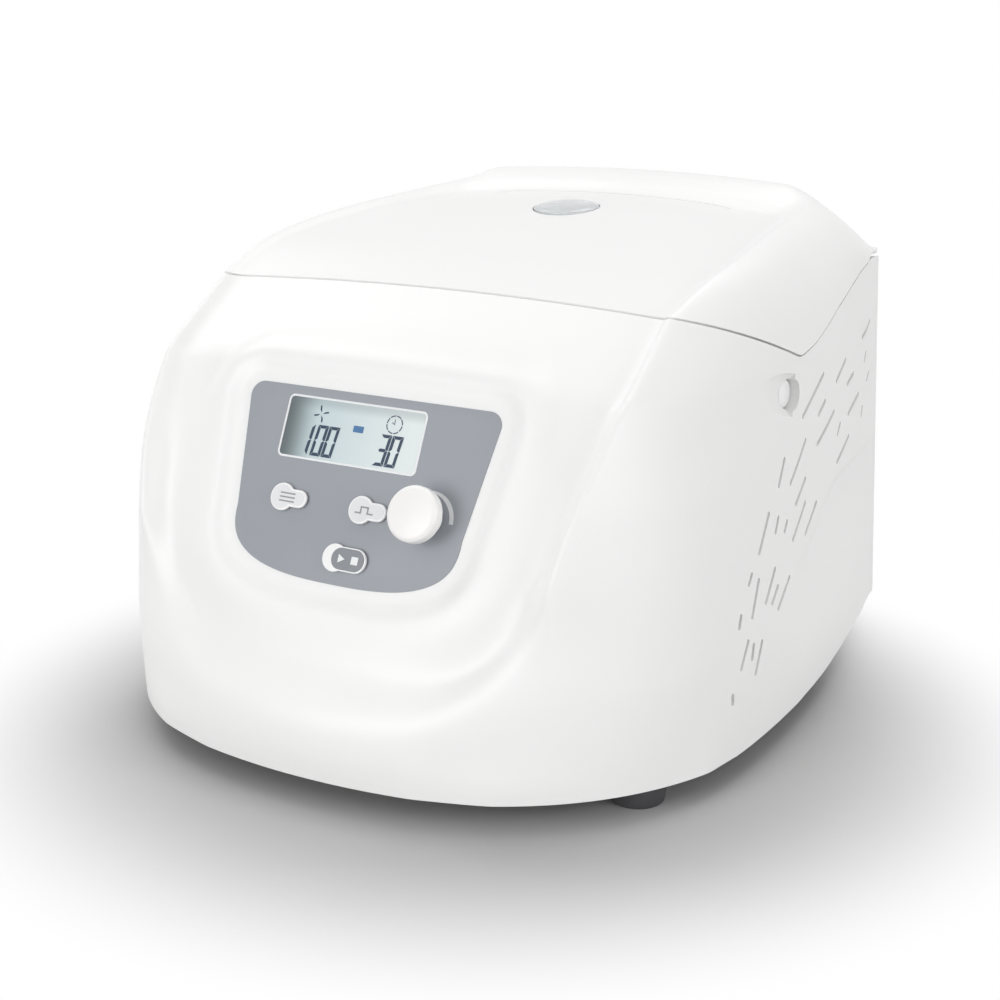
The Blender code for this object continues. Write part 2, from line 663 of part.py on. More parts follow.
def side_x(y, z):
    """Half width of the side wall at a depth and a height."""
    share = y / DEPTH
    first = SIDE_PLAN_SHARES[0]
    last = SIDE_PLAN_SHARES[-1]
    share = min(max(share, first[0]), last[0])
    place = 0.0
    for index, (start, end) in enumerate(zip(SIDE_PLAN_SHARES, SIDE_PLAN_SHARES[1:])):
        if share >= start[0]:
            place = index + (share - start[0]) / (end[0] - start[0])
    return catmull(SIDE_PLAN_SHARES, place)[1] * HALF_WIDTH - SIDE_DRAFT_SHARE * z


def edge_point(table, place):
    y_share, z_share = catmull(table, place)
    y = y_share * DEPTH
    z = z_share * HEIGHT
    return Vector((side_x(y, z), y, z))


def quadratic(start, control, end, share):
    return between(between(start, control, share), between(control, end, share), share)


def front_half(centre, floor, crease, cheek, edge):
    """Points from the middle of a row to the edge of the side, through the row's guide points."""
    points = []
    for step in range(FLOOR_STEPS + 1):
        share = step / FLOOR_STEPS
        drop = (floor - centre) * share * share
        points.append(Vector((floor.x * share, centre.y + drop.y, centre.z + drop.z)))
    points.append(crease)
    for step in range(1, CHEEK_STEPS + 1):
        points.append(quadratic(crease, cheek, edge, step / CHEEK_STEPS))
    return points


def mirrored(points):
    """The whole row, from the far left to the far right."""
    left = [Vector((-point.x, point.y, point.z)) for point in reversed(points[1:])]
    return left + points


def seam_z(y):
    """Height of the housing's top edge at a depth along the side, a little low at the rear corner."""
    table = LID_SEAM_SHARES[:9] + ((1.0, REAR_CORNER_SHARE),)
    share = max(y / DEPTH, table[0][0])
    for low, high in zip(table, table[1:]):
        if share <= high[0]:
            return between(low[1], high[1], (share - low[0]) / (high[0] - low[0])) * HEIGHT


def side_point(place, share):
    """A point of the side panel, from its front edge to the rear edge; the last row is the seam."""
    last = len(EDGE_SHARES) - 2
    lower = min(place, last)
    front_z = edge_point(EDGE_SHARES, lower).z
    rear_z = catmull([(value,) for value in REAR_EDGE_SHARES], lower)[0] * HEIGHT
    bow = catmull([(value,) for value in SIDE_BOW_SHARES], lower)[0] * HEIGHT
    y = between(edge_point(EDGE_SHARES, place).y, DEPTH, share)
    z = between(front_z, rear_z, share) + bow * math.sin(math.pi * share)
    z = between(z, seam_z(y), max(place - last, 0.0))
    return Vector((side_x(y, z), y, z))


def housing_row(place):
    centre = catmull(CENTRE_SHARES, place)
    points = front_half(
        scaled((0.0, *centre)),
        scaled(catmull(FLOOR_SHARES, place)),
        scaled(catmull(CREASE_SHARES, place)),
        scaled(catmull(CHEEK_SHARES, place)),
        edge_point(EDGE_SHARES, place),
    )
    points += [side_point(place, share) for share in SIDE_PLACE_SHARES]
    return mirrored(points)


def lid_row(place):
    centre = catmull(LID_CENTRE_SHARES, place)
    points = front_half(
        scaled((0.0, *centre)),
        scaled(catmull(LID_FLOOR_SHARES, place)),
        scaled(catmull(LID_CREASE_SHARES, place)),
        scaled(catmull(LID_SHOULDER_SHARES, place)),
        edge_point(LID_SEAM_SHARES, place),
    )
    return mirrored(points)


def on_panel(x, up, out):
    """A point on the tilted control panel, in body coordinates."""
    return PANEL_MIDDLE + RIGHT * x + PANEL_UP * up + PANEL_NORMAL * out


def panel_outline(grow):
    """The control panel's rounded trapezoid as (x, up) points, grown on all sides."""
    top = PANEL_LENGTH / 2 + grow
    radius = PANEL_TOP_RADIUS + grow
    half_top = PANEL_TOP_HALF_WIDTH + grow
    half_side = PANEL_SIDE_HALF_WIDTH + grow
    shoulder = -PANEL_LENGTH * PANEL_SHOULDER_SHARE
    depth = PANEL_LENGTH / 2 + grow + shoulder
    right = []
    for step in range(PANEL_CORNER_STEPS + 1):
        angle = math.pi / 2 * (1 - step / PANEL_CORNER_STEPS)
        x = half_top - radius + radius * math.cos(angle)
        right.append((x, top - radius + radius * math.sin(angle)))
    for step in range(PANEL_SWEEP_STEPS):
        angle = math.pi / 2 * step / PANEL_SWEEP_STEPS
        x = half_side * math.cos(angle) ** PANEL_SWEEP_SHARE
        right.append((x, shoulder - depth * math.sin(angle) ** PANEL_SWEEP_SHARE))
    left = [(-x, up) for x, up in reversed(right)]
    return right + [(0.0, shoulder - depth)] + left


def panel_prism(outline, out_low, out_high, x=0.0, up=0.0):
    """A plate parallel to the panel, between two heights above its plane."""
    return prism(outline, on_panel(x, up, out_low), RIGHT, PANEL_UP, out_high - out_low)


def panel_cylinder(radius, x, up, out_low, out_high, segments=SMALL_SEGMENTS):
    return panel_prism(circle(radius, segments), out_low, out_high, x, up)


def key_places():
    return (
        ("key_left", KEY_LEFT_X, KEY_ROW_UP),
        ("key_middle", KEY_MIDDLE_X, KEY_ROW_UP),
        ("key_lower", KEY_LOWER_X, KEY_LOWER_UP),
    )


def button_start(x):
    return Vector((x, BUTTON_Y, BUTTON_Z))


def slit_cutters():
    """Slanted through slots for both side panels."""
    tools = []
    for side in (-1.0, 1.0):
        for upper, lower in SLIT_SHARES:
            tools.append(slit(side, upper, lower))
    return tools


def slit(side, upper, lower):
    """One slot: a thin box between its two ends, through the side wall."""
    top = Vector((0.0, upper[0] * DEPTH, upper[1] * HEIGHT))
    bottom = Vector((0.0, lower[0] * DEPTH, lower[1] * HEIGHT))
    middle = between(top, bottom, 1 / 2)
    lean = (top - bottom).normalized()
    across = lean.cross(RIGHT)
    start = middle + RIGHT * side * (side_x(middle.y, middle.z) - SLIT_CUT_DEPTH)
    outline = rectangle(SLIT_WIDTH, (top - bottom).length)
    return prism(outline, start, across, lean, side * 2 * SLIT_CUT_DEPTH)


def make_housing(looks):
    surface = grid_surface([housing_row(place) for place in HOUSING_PLACES])
    body = thicken(surface, WALL)
    seat = panel_prism(panel_outline(SURROUND_REACH), -PANEL_SEAT, SURROUND_HEIGHT)
    body = unite(body, seat)
    pocket = panel_prism(panel_outline(PANEL_POCKET_GAP), 0.0, PANEL_SEAT)
    body = cut(body, pocket)
    holes = [
        panel_prism(
            rectangle(SCREEN_WIDTH - MODULE_MARGIN, SCREEN_LENGTH - MODULE_MARGIN),
            -PANEL_SEAT - CUT_OVERRUN, CUT_OVERRUN, SCREEN_X, SCREEN_UP,
        ),
        panel_cylinder(
            ENCODER_BUSH_RADIUS + PART_GAP, KNOB_X, KNOB_UP, -PANEL_SEAT - CUT_OVERRUN, CUT_OVERRUN
        ),
    ]
    for _, x, up in key_places():
        radius = KEY_STEM_RADIUS + PART_GAP
        holes.append(panel_cylinder(radius, x, up, -PANEL_SEAT - CUT_OVERRUN, CUT_OVERRUN, TINY_SEGMENTS))
    body = cut(body, *holes)
    floor = BUTTON_FACE_X - SCOOP_DEPTH
    boss_start = floor - WALL
    boss_length = BUTTON_CHEEK_X - SCOOP_BOSS_MARGIN - boss_start
    boss = cylinder(
        SCOOP_RADIUS + SCOOP_WALL, button_start(boss_start), RIGHT, boss_length, BUTTON_SEGMENTS
    )
    body = unite(body, boss)
    scoop = cylinder(SCOOP_RADIUS, button_start(floor), RIGHT, 2 * SCOOP_RADIUS, BUTTON_SEGMENTS)
    hole = cylinder(
        BUTTON_RADIUS + BUTTON_CLEARANCE, button_start(floor - 2 * WALL), RIGHT, 3 * WALL, BUTTON_SEGMENTS
    )
    body = cut(cut(body, scoop), hole)
    body = cut(body, *slit_cutters())
    return add_object("main_housing", body, looks["white"])


def make_lid_shell():
    surface = grid_surface([lid_row(place) for place in LID_PLACES])
    body = thicken(surface, WALL, True)
    bmesh.ops.translate(body, verts=body.verts, vec=Vector((0.0, LID_FRONT_GAP, LID_GAP)))
    middle, axis = glass_frame()
    return cut(body, cylinder(GLASS_RADIUS, middle - axis * HEIGHT / 4, axis, HEIGHT / 2, ROUND_SEGMENTS))


def inset_outline(points, distance):
    """Move a flat closed outline inwards, corner by corner."""
    count = len(points)
    moved = []
    for i in range(count):
        before = points[i - 1]
        here = points[i]
        after = points[(i + 1) % count]
        first = (here - before).to_2d().normalized()
        second = (after - here).to_2d().normalized()
        normal_a = Vector((-first.y, first.x))
        normal_b = Vector((-second.y, second.x))
        bisector = (normal_a + normal_b).normalized()
        reach = distance / max(bisector.dot(normal_a), MITRE_LIMIT_SHARE)
        moved.append((here.x + bisector.x * reach, here.y + bisector.y * reach))
    return moved


def make_base_pan(looks):
    outline = inset_outline(housing_row(0.0), WALL + PART_GAP)
    body = prism(outline, Vector((0.0, 0.0, 0.0)), RIGHT, FORWARD, BASE_THICKNESS)
    add_object("base_pan", body, looks["dark"])


def foot_places():
    return (
        ("foot_front_left", -FOOT_X, FOOT_FRONT_Y),
        ("foot_front_right", FOOT_X, FOOT_FRONT_Y),
        ("foot_rear_left", -FOOT_REAR_X, FOOT_REAR_Y),
        ("foot_rear_right", FOOT_REAR_X, FOOT_REAR_Y),
    )


def make_feet(looks):
    low = FOOT_RADIUS * FOOT_TAPER_SHARE
    height = FOOT_HEIGHT - SEAT_GAP
    for name, x, y in foot_places():
        profile = [
            (FOOT_SCREW_RADIUS, 0.0), (low, 0.0), (FOOT_RADIUS, height / 2), (FOOT_RADIUS, height),
            (0.0, height), (0.0, height / 2), (FOOT_SCREW_RADIUS, height / 2),
        ]
        body = lathe(profile_on_axis(profile), Vector((x, y, -FOOT_HEIGHT)), UP, FOOT_SEGMENTS)
        add_object(name, body, looks["rubber"])


def profile_on_axis(profile):
    """Start a solid's profile at its axis, so that the lathe closes it there."""
    on_axis = [index for index, (radius, _) in enumerate(profile) if radius == 0.0]
    start = on_axis[-1]
    return profile[start:] + profile[:start]


def rear_outline():
    """The rear panel's outline as (x, z) points, inside the housing's side walls."""
    low = REAR_MARGIN
    high = HEIGHT * REAR_EDGE_SHARES[-1] - REAR_TOP_GAP
    half_low = side_x(DEPTH, low) - WALL - REAR_MARGIN
    half_high = side_x(DEPTH, high) - WALL - REAR_MARGIN
    return [(-half_low, low), (half_low, low), (half_high, high), (-half_high, high)]


def rear_prism(outline, y_front, y_rear, x=0.0, z=0.0):
    """A plate across the rear, between two depths."""
    return prism(outline, Vector((x, y_rear, z)), RIGHT, UP, y_rear - y_front)


def make_rear_panel(looks):
    rear = DEPTH - REAR_MARGIN
    front = rear - REAR_THICKNESS
    body = rear_prism(rear_outline(), front, rear)
    tools = []
    for step in range(GRILLE_COUNT):
        offset = (step - (GRILLE_COUNT - 1) / 2) * GRILLE_PITCH
        reach = math.sqrt(FAN_BORE_RADIUS ** 2 - offset ** 2) - GRILLE_SLOT
        outline = rectangle(2 * reach, GRILLE_SLOT)
        tools.append(rear_prism(outline, front - CUT_OVERRUN, rear + CUT_OVERRUN, FAN_X, FAN_Z + offset))
    for width, height, z in (
        (INLET_WIDTH, INLET_HEIGHT, INLET_Z),
        (SWITCH_WIDTH, SWITCH_HEIGHT, SWITCH_Z),
        (FUSE_WIDTH, FUSE_HEIGHT, FUSE_Z),
    ):
        outline = rectangle(width + PART_GAP, height + PART_GAP)
        tools.append(rear_prism(outline, front - CUT_OVERRUN, rear + CUT_OVERRUN, INLET_X, z))
    add_object("rear_panel", cut(body, *tools), looks["white"])


def socket_body(width, height, depth, wall, z):
    """A moulded box set in the rear panel, with a flange outside and a pocket open to the rear."""
    rear = DEPTH - REAR_MARGIN
    body = rear_prism(rectangle(width, height), rear - depth, rear + SEAT_GAP, INLET_X, z)
    flange = rear_prism(
        rectangle(width + 2 * INLET_FLANGE, height + 2 * INLET_FLANGE),
        rear + SEAT_GAP, rear + SEAT_GAP + INLET_FLANGE_THICKNESS, INLET_X, z,
    )
    body = unite(body, flange)
    pocket = rear_prism(
        rectangle(width - 2 * wall, height - 2 * wall),
        rear - depth + wall, rear + INLET_FLANGE_THICKNESS + CUT_OVERRUN, INLET_X, z,
    )
    return cut(body, pocket)


def make_inlet(looks):
    body = socket_body(INLET_WIDTH, INLET_HEIGHT, INLET_DEPTH, INLET_WALL, INLET_Z)
    back = DEPTH - REAR_MARGIN - INLET_DEPTH + INLET_WALL / 2
    pins = []
    for step in (-1, 0, 1):
        lift = INLET_PIN_HEIGHT / 2 if step == 0 else -INLET_PIN_HEIGHT / 2
        x = INLET_X + step * INLET_PIN_PITCH
        outline = rectangle(INLET_PIN_WIDTH, INLET_PIN_HEIGHT)
        pins.append(rear_prism(outline, back, back + INLET_PIN_LENGTH, x, INLET_Z + lift))
    add_object("power_inlet", unite(body, join(*pins)), looks["dark"])


def make_switch(looks):
    body = socket_body(SWITCH_WIDTH, SWITCH_HEIGHT, SWITCH_DEPTH, SWITCH_WALL, SWITCH_Z)
    add_object("switch_frame", body, looks["dark"])
    pivot = Vector((INLET_X, DEPTH - REAR_MARGIN - SWITCH_DEPTH / 3, SWITCH_Z))
    middle = SWITCH_DEPTH / 3 + INLET_FLANGE_THICKNESS
    half = SWITCH_HEIGHT / 2 - SWITCH_WALL - PART_GAP - middle * math.sin(ROCKER_TILT)
    proud = middle + ROCKER_PROUD
    low = -SWITCH_DEPTH / 3
    outline = [
        (low / 2, -half / 2), (middle / 2, -half), (proud, -half), (middle, 0.0), (proud, half),
        (middle / 2, half), (low / 2, half / 2),
    ]
    turn = Matrix.Rotation(ROCKER_TILT, 3, "X")
    across = turn @ FORWARD
    up = turn @ UP
    width = SWITCH_WIDTH - 2 * SWITCH_WALL - 2 * PART_GAP
    rocker = prism(outline, pivot - RIGHT * width / 2, across, up, width)
    add_object("power_switch", rocker, looks["dark"], pivot)


def make_fuse_drawer(looks):
    holder = socket_body(FUSE_WIDTH, FUSE_HEIGHT, FUSE_DEPTH, INLET_WALL / 2, FUSE_Z)
    add_object("fuse_holder", holder, looks["dark"])
    rear = DEPTH - REAR_MARGIN + SEAT_GAP + INLET_FLANGE_THICKNESS
    width = FUSE_WIDTH - INLET_WALL - 2 * PART_GAP
    height = FUSE_HEIGHT - INLET_WALL - 2 * PART_GAP
    front = DEPTH - REAR_MARGIN - FUSE_DEPTH + INLET_WALL
    body = rear_prism(rectangle(width, height), front, rear + INLET_WALL, INLET_X, FUSE_Z)
    lip = rear_prism(
        rectangle(width + INLET_WALL, height + INLET_WALL),
        rear + SEAT_GAP, rear + INLET_WALL, INLET_X, FUSE_Z,
    )
    trough = centred_box(
        (INLET_X, (front + rear) / 2, FUSE_Z + height / 2), (width / 2, (rear - front) * 2 / 3, height)
    )
    add_object("fuse_drawer", cut(unite(body, lip), trough), looks["dark"])


def make_fan(looks):
    rear = DEPTH - REAR_MARGIN - REAR_THICKNESS - SEAT_GAP
    front = rear - FAN_THICKNESS
    body = rear_prism(rectangle(FAN_SIZE, FAN_SIZE), front, rear, FAN_X, FAN_Z)
    start = Vector((FAN_X, front - CUT_OVERRUN, FAN_Z))
    bore_length = FAN_THICKNESS + 2 * CUT_OVERRUN
    body = cut(body, cylinder(FAN_BORE_RADIUS, start, FORWARD, bore_length, ROUND_SEGMENTS))
    front += SEAT_GAP
    hub_depth = FAN_THICKNESS * FAN_HUB_SHARE
    hub = cylinder(FAN_HUB_RADIUS, Vector((FAN_X, front, FAN_Z)), FORWARD, hub_depth)
    struts = []
    for turn in (0, 1):
        size = [FAN_STRUT_WIDTH, hub_depth, FAN_STRUT_WIDTH]
        size[0 if turn else 2] = 2 * FAN_BORE_RADIUS + FAN_STRUT_WIDTH
        struts.append(centred_box((FAN_X, front + hub_depth / 2, FAN_Z), size))
    body = unite(body, hub, *struts)
    add_object("fan_frame", body, looks["dark"])
    wheel_start = Vector((FAN_X, front + hub_depth + PART_GAP, FAN_Z))
    wheel_length = FAN_THICKNESS - hub_depth - 4 * PART_GAP
    wheel = cylinder(FAN_HUB_RADIUS, wheel_start, FORWARD, wheel_length)
    for step in range(FAN_BLADE_COUNT):
        wheel = unite(wheel, fan_blade(wheel_start, wheel_length, math.tau * step / FAN_BLADE_COUNT))
    add_object("fan_wheel", wheel, looks["dark"], wheel_start)


def fan_blade(start, length, angle):
    """One pitched blade from inside the hub to just short of the bore."""
    radial = Vector((math.cos(angle), 0.0, math.sin(angle)))
    around = radial.cross(FORWARD)
    chord = (FORWARD * math.cos(FAN_BLADE_PITCH) + around * math.sin(FAN_BLADE_PITCH)).normalized()
    reach = FAN_BORE_RADIUS - FAN_BLADE_GAP - FAN_HUB_RADIUS / 2
    width = length * FAN_BLADE_WIDTH_SHARE
    origin = start + FORWARD * length / 2 + radial * FAN_HUB_RADIUS / 2
    outline = rectangle(width, FAN_BLADE_THICKNESS)
    return prism(outline, origin, chord, chord.cross(radial), -reach)


def deck_border():
    """The deck's outer edge, just inside the housing under the lid's seam and along the rear panel."""
    rows = len(CENTRE_SHARES) - 1
    upper = housing_row(rows - DECK_DROP_SHARE)
    lower = housing_row(rows - 2 * DECK_DROP_SHARE)
    reach = WALL + DECK_MARGIN + DECK_THICKNESS
    rear_limit = DEPTH - REAR_MARGIN - REAR_THICKNESS - DECK_THICKNESS - DECK_MARGIN
    border = []
    for i in range(len(upper)):
        before = upper[max(i - 1, 0)]
        after = upper[min(i + 1, len(upper) - 1)]
        normal = (after - before).cross(upper[i] - lower[i]).normalized()
        point = upper[i] - normal * reach
        if point.y < rear_limit:
            border.append(point)
    for end in (border[-1], border[0]):
        z = end.z
        x = math.copysign(side_x(rear_limit, z) - reach, end.x)
        border.append(Vector((x, rear_limit, z)))
    return border


def bowl_angle(point):
    return math.atan2(point.y - BOWL_Y, point.x)


def border_point(border, angle):
    """Where a line from the bowl's axis meets the deck's outer edge."""
    direction = Vector((math.cos(angle), math.sin(angle)))
    square = Vector((-direction.y, direction.x))
    for low, high in zip(border, border[1:] + border[:1]):
        first = Vector((low.x, low.y - BOWL_Y))
        last = Vector((high.x, high.y - BOWL_Y))
        side_first = first.dot(square)
        side_last = last.dot(square)
        if side_first <= 0.0 < side_last:
            share = side_first / (side_first - side_last)
            if between(first, last, share).dot(direction) > 0.0:
                return between(low, high, share)


def deck_angles(border):
    """Even directions round the bowl, with the nearest ones turned to the two rear corners."""
    angles = [math.tau * i / DECK_SEGMENTS - math.pi for i in range(DECK_SEGMENTS)]
    for corner in border[-2:]:
        angle = bowl_angle(corner)
        nearest = min(range(DECK_SEGMENTS), key=lambda i: abs(angles[i] - angle))
        angles[nearest] = angle
    return angles


def make_deck(looks):
    border = deck_border()
    rings = [[], [], [], [], [], []]
    rim = BOWL_RADIUS + BOWL_FLANGE + PART_GAP
    well = BOWL_RADIUS + PART_GAP
    for angle in deck_angles(border):
        flat = Vector((math.cos(angle), math.sin(angle), 0.0))
        middle = Vector((0.0, BOWL_Y, DECK_HEIGHT))
        tops = [border_point(border, angle), middle + flat * rim, middle + flat * well]
        for index, (point, spread) in enumerate(zip(tops, (1.0, 1.0, 0.0))):
            rings[index].append(point)
            rings[-1 - index].append(point + flat * DECK_THICKNESS * spread - UP * DECK_THICKNESS)
    part = bmesh.new()
    loops = [[part.verts.new(point) for point in ring] for ring in rings]
    for index, loop in enumerate(loops):
        other = loops[(index + 1) % len(loops)]
        for i in range(DECK_SEGMENTS):
            j = (i + 1) % DECK_SEGMENTS
            part.faces.new([loop[i], loop[j], other[j], other[i]])
    slot = centred_box(
        (HOOK_X, BUTTON_Y, DECK_HEIGHT),
        (HOOK_THICKNESS + 2 * HOOK_SLOT_GAP, HOOK_WIDTH + 2 * HOOK_SLOT_GAP, 4 * LATCH_HEIGHT),
    )
    groove = cylinder(
        SCOOP_RADIUS + SCOOP_WALL + PART_GAP, button_start(boss_inner_x() - PART_GAP), RIGHT, HALF_WIDTH / 4,
        BUTTON_SEGMENTS,
    )
    add_object("chamber_deck", cut(cut(part, slot), groove), looks["liner"])


def make_bowl(looks):
    top = DECK_HEIGHT + SEAT_GAP
    floor = top - BOWL_DEPTH
    fillet = BOWL_RADIUS - BOWL_FLOOR_RADIUS
    outer = []
    inner = []
    for step in range(BOWL_FILLET_STEPS + 1):
        angle = math.pi / 2 * step / BOWL_FILLET_STEPS
        x = BOWL_FLOOR_RADIUS + fillet * math.sin(angle)
        z = fillet * (1 - math.cos(angle))
        outer.append((x, floor + z))
        inner_fillet = fillet - BOWL_WALL
        x = BOWL_FLOOR_RADIUS + inner_fillet * math.sin(angle)
        inner.append((x, floor + BOWL_WALL + inner_fillet * (1 - math.cos(angle))))
    profile = [(BOWL_HOLE_RADIUS, floor)] + outer
    profile += [(BOWL_RADIUS, top), (BOWL_RADIUS + BOWL_FLANGE, top)]
    profile += [(BOWL_RADIUS + BOWL_FLANGE, top + BOWL_WALL), (BOWL_RADIUS - BOWL_WALL, top + BOWL_WALL)]
    profile += list(reversed(inner)) + [(BOWL_HOLE_RADIUS, floor + BOWL_WALL)]
    body = lathe(profile, Vector((0.0, BOWL_Y, 0.0)), UP, BOWL_SEGMENTS)
    add_object("chamber_bowl", body, looks["steel"])


def make_gasket(looks):
    low = DECK_HEIGHT + 2 * SEAT_GAP + BOWL_WALL
    inner = BOWL_RADIUS + SEAT_GAP
    outer = inner + GASKET_WIDTH
    profile = [
        (inner, low), (outer, low), (outer, low + GASKET_HEIGHT / 2),
        ((inner + outer) / 2, low + GASKET_HEIGHT), (inner, low + GASKET_HEIGHT / 2),
    ]
    body = lathe(profile, Vector((0.0, BOWL_Y, 0.0)), UP, BOWL_SEGMENTS)
    add_object("chamber_gasket", body, looks["rubber"])


def make_rotor(looks):
    bottom = Vector((0.0, BOWL_Y, rotor_bottom()))
    base = ROTOR_RADIUS * ROTOR_BASE_SHARE
    waist = ROTOR_HEIGHT * ROTOR_WAIST_SHARE
    band = waist + ROTOR_BAND
    hub = ROTOR_HEIGHT + ROTOR_HUB_RISE
    bore = SHAFT_RADIUS + SEAT_GAP
    profile = [
        (0.0, hub), (0.0, SHAFT_REACH + SEAT_GAP), (bore, SHAFT_REACH + SEAT_GAP), (bore, 0.0), (base, 0.0),
        (ROTOR_RADIUS, waist), (ROTOR_RADIUS, band), (ROTOR_TOP_RADIUS, ROTOR_HEIGHT),
        (ROTOR_HUB_RADIUS, ROTOR_HEIGHT), (ROTOR_HUB_RADIUS, hub),
    ]
    body = lathe(list(reversed(profile)), bottom, UP, 3 * TUBE_COUNT)
    slope = (ROTOR_HEIGHT - band) / (ROTOR_RADIUS - ROTOR_TOP_RADIUS)
    mouth = band + (ROTOR_RADIUS - TUBE_RING_RADIUS) * slope
    bores = []
    for step in range(TUBE_COUNT):
        turn = math.tau * (step + 0.5) / TUBE_COUNT
        radial = Vector((math.cos(turn), math.sin(turn), 0.0))
        axis = UP * math.cos(TUBE_TILT) - radial * math.sin(TUBE_TILT)
        start = bottom + radial * TUBE_RING_RADIUS + UP * mouth - axis * TUBE_DEPTH
        bores.append(cylinder(TUBE_RADIUS, start, axis, 2 * TUBE_DEPTH, TUBE_SEGMENTS))
    for tool in bores:
        body = cut(body, tool)
    add_object("rotor", body, looks["alloy"], bottom)
    nut_low = hub + SEAT_GAP
    nut = [
        (0.0, nut_low + NUT_HEIGHT), (0.0, nut_low), (NUT_RADIUS, nut_low),
        (NUT_RADIUS, nut_low + NUT_HEIGHT * 2 / 3), (NUT_RADIUS * 2 / 3, nut_low + NUT_HEIGHT),
    ]
    add_object("rotor_nut", lathe(list(reversed(nut)), bottom, UP, ROUND_SEGMENTS), looks["dark"], bottom)


def rotor_bottom():
    return DECK_HEIGHT + SEAT_GAP - BOWL_DEPTH + BOWL_WALL + ROTOR_LIFT


def motor_plate_bottom():
    return BASE_THICKNESS + DAMPER_HEIGHT + 2 * SEAT_GAP


def make_drive(looks):
    middle = Vector((0.0, BOWL_Y, 0.0))
    plate_low = motor_plate_bottom()
    plate = cylinder(MOTOR_PLATE_RADIUS, middle + UP * plate_low, UP, MOTOR_PLATE_THICKNESS, ROUND_SEGMENTS)
    add_object("motor_plate", plate, looks["steel"])
    low = plate_low + MOTOR_PLATE_THICKNESS + SEAT_GAP
    neck = DECK_HEIGHT + SEAT_GAP - BOWL_DEPTH - MOTOR_TOP_GAP
    high = neck - MOTOR_NECK_HEIGHT
    bore = SHAFT_RADIUS + SEAT_GAP
    floor = (low + high) / 2
    profile = [
        (0.0, low), (MOTOR_RADIUS, low), (MOTOR_RADIUS, high), (MOTOR_NECK_RADIUS, high),
        (MOTOR_NECK_RADIUS, neck), (bore, neck), (bore, floor), (0.0, floor),
    ]
    add_object("motor", lathe(profile, middle, UP, ROUND_SEGMENTS), looks["dark"])
    bottom = rotor_bottom()
    shaft_low = floor + SEAT_GAP
    shaft = [
        (0.0, shaft_low), (SHAFT_RADIUS, shaft_low), (SHAFT_RADIUS, neck + SHAFT_COLLAR_GAP),
        (SHAFT_CONE_RADIUS, bottom - SHAFT_COLLAR), (SHAFT_CONE_RADIUS, bottom - SEAT_GAP),
        (SHAFT_RADIUS, bottom - SEAT_GAP), (SHAFT_RADIUS, bottom + SHAFT_REACH), (0.0, bottom + SHAFT_REACH),
    ]
    pivot = middle + UP * bottom
    add_object("motor_shaft", lathe(shaft, middle, UP, SMALL_SEGMENTS), looks["steel"], pivot)
    for step in range(DAMPER_COUNT):
        turn = math.tau * step / DAMPER_COUNT + math.pi / 2
        place = Vector((math.cos(turn), math.sin(turn), 0.0)) * DAMPER_RING_RADIUS + middle
        waist = DAMPER_RADIUS * DAMPER_WAIST_SHARE
        bottom = BASE_THICKNESS + SEAT_GAP
        damper = [
            (0.0, bottom), (DAMPER_RADIUS, bottom), (waist, bottom + DAMPER_HEIGHT / 2),
            (DAMPER_RADIUS, bottom + DAMPER_HEIGHT), (0.0, bottom + DAMPER_HEIGHT),
        ]
        add_object(f"motor_damper_{step + 1}", lathe(damper, place, UP, SMALL_SEGMENTS), looks["rubber"])


def surface_z(body, x, y, from_below):
    """Height of a mesh's surface at a place, seen from below or above."""
    tree = BVHTree.FromBMesh(body)
    start = Vector((x, y, 0.0)) if from_below else Vector((x, y, 2 * HEIGHT))
    hit = tree.ray_cast(start, UP if from_below else -UP)[0]
    return hit.z


def make_lid(looks):
    pivot = Vector((0.0, HINGE_AXIS_Y, HINGE_AXIS_Z))
    shell = make_lid_shell()
    make_liner(shell, looks, pivot)
    make_hook(shell, looks, pivot)
    make_sight_glass(looks, pivot)
    add_object("lid_shell", shell, looks["white"], pivot)


def make_liner(shell, looks, pivot):
    low = DECK_HEIGHT + 3 * SEAT_GAP + BOWL_WALL + GASKET_HEIGHT
    high = low + LINER_THICKNESS
    rim = high + LINER_RIM_HEIGHT
    inner = LINER_RADIUS - LINER_THICKNESS
    profile = [
        (GLASS_RADIUS, low), (LINER_RADIUS, low), (LINER_RADIUS, rim), (inner, rim), (inner, high),
        (GLASS_RADIUS, high),
    ]
    body = lathe(profile, Vector((0.0, BOWL_Y, 0.0)), UP, BOWL_SEGMENTS)
    posts = []
    for side in (-1, 1):
        for depth in (-1, 1):
            x = side * LINER_POST_X
            y = BOWL_Y + depth * LINER_POST_Y
            heights = [
                surface_z(shell, x + dx, y + dy, True)
                for dx, dy in circle(LINER_POST_RADIUS, TINY_SEGMENTS)
            ]
            start = Vector((x, y, (low + high) / 2))
            length = min(heights) - SEAT_GAP - start.z
            posts.append(cylinder(LINER_POST_RADIUS, start, UP, length, TINY_SEGMENTS))
    add_object("lid_liner", unite(body, *posts), looks["liner"], pivot)


def make_hook(shell, looks, pivot):
    low = BUTTON_Z - BOLT_THICKNESS / 2 - HOOK_NOSE_GAP - HOOK_REACH / 2
    half = HOOK_THICKNESS / 2
    wide = HOOK_WIDTH / 2
    corners = [(HOOK_X + a, BUTTON_Y + b) for a in (-half, half) for b in (-wide, wide)]
    top = min(surface_z(shell, x, y, True) for x, y in corners) - SEAT_GAP
    strip = box((HOOK_X - half, BUTTON_Y - wide, low), (HOOK_X + half, BUTTON_Y + wide, top))
    nose_low = (HOOK_X - half - HOOK_NOSE, BUTTON_Y - wide, low)
    nose_high = (HOOK_X, BUTTON_Y + wide, low + HOOK_REACH / 2)
    add_object("lid_hook", unite(strip, box(nose_low, nose_high)), looks["steel"], pivot)


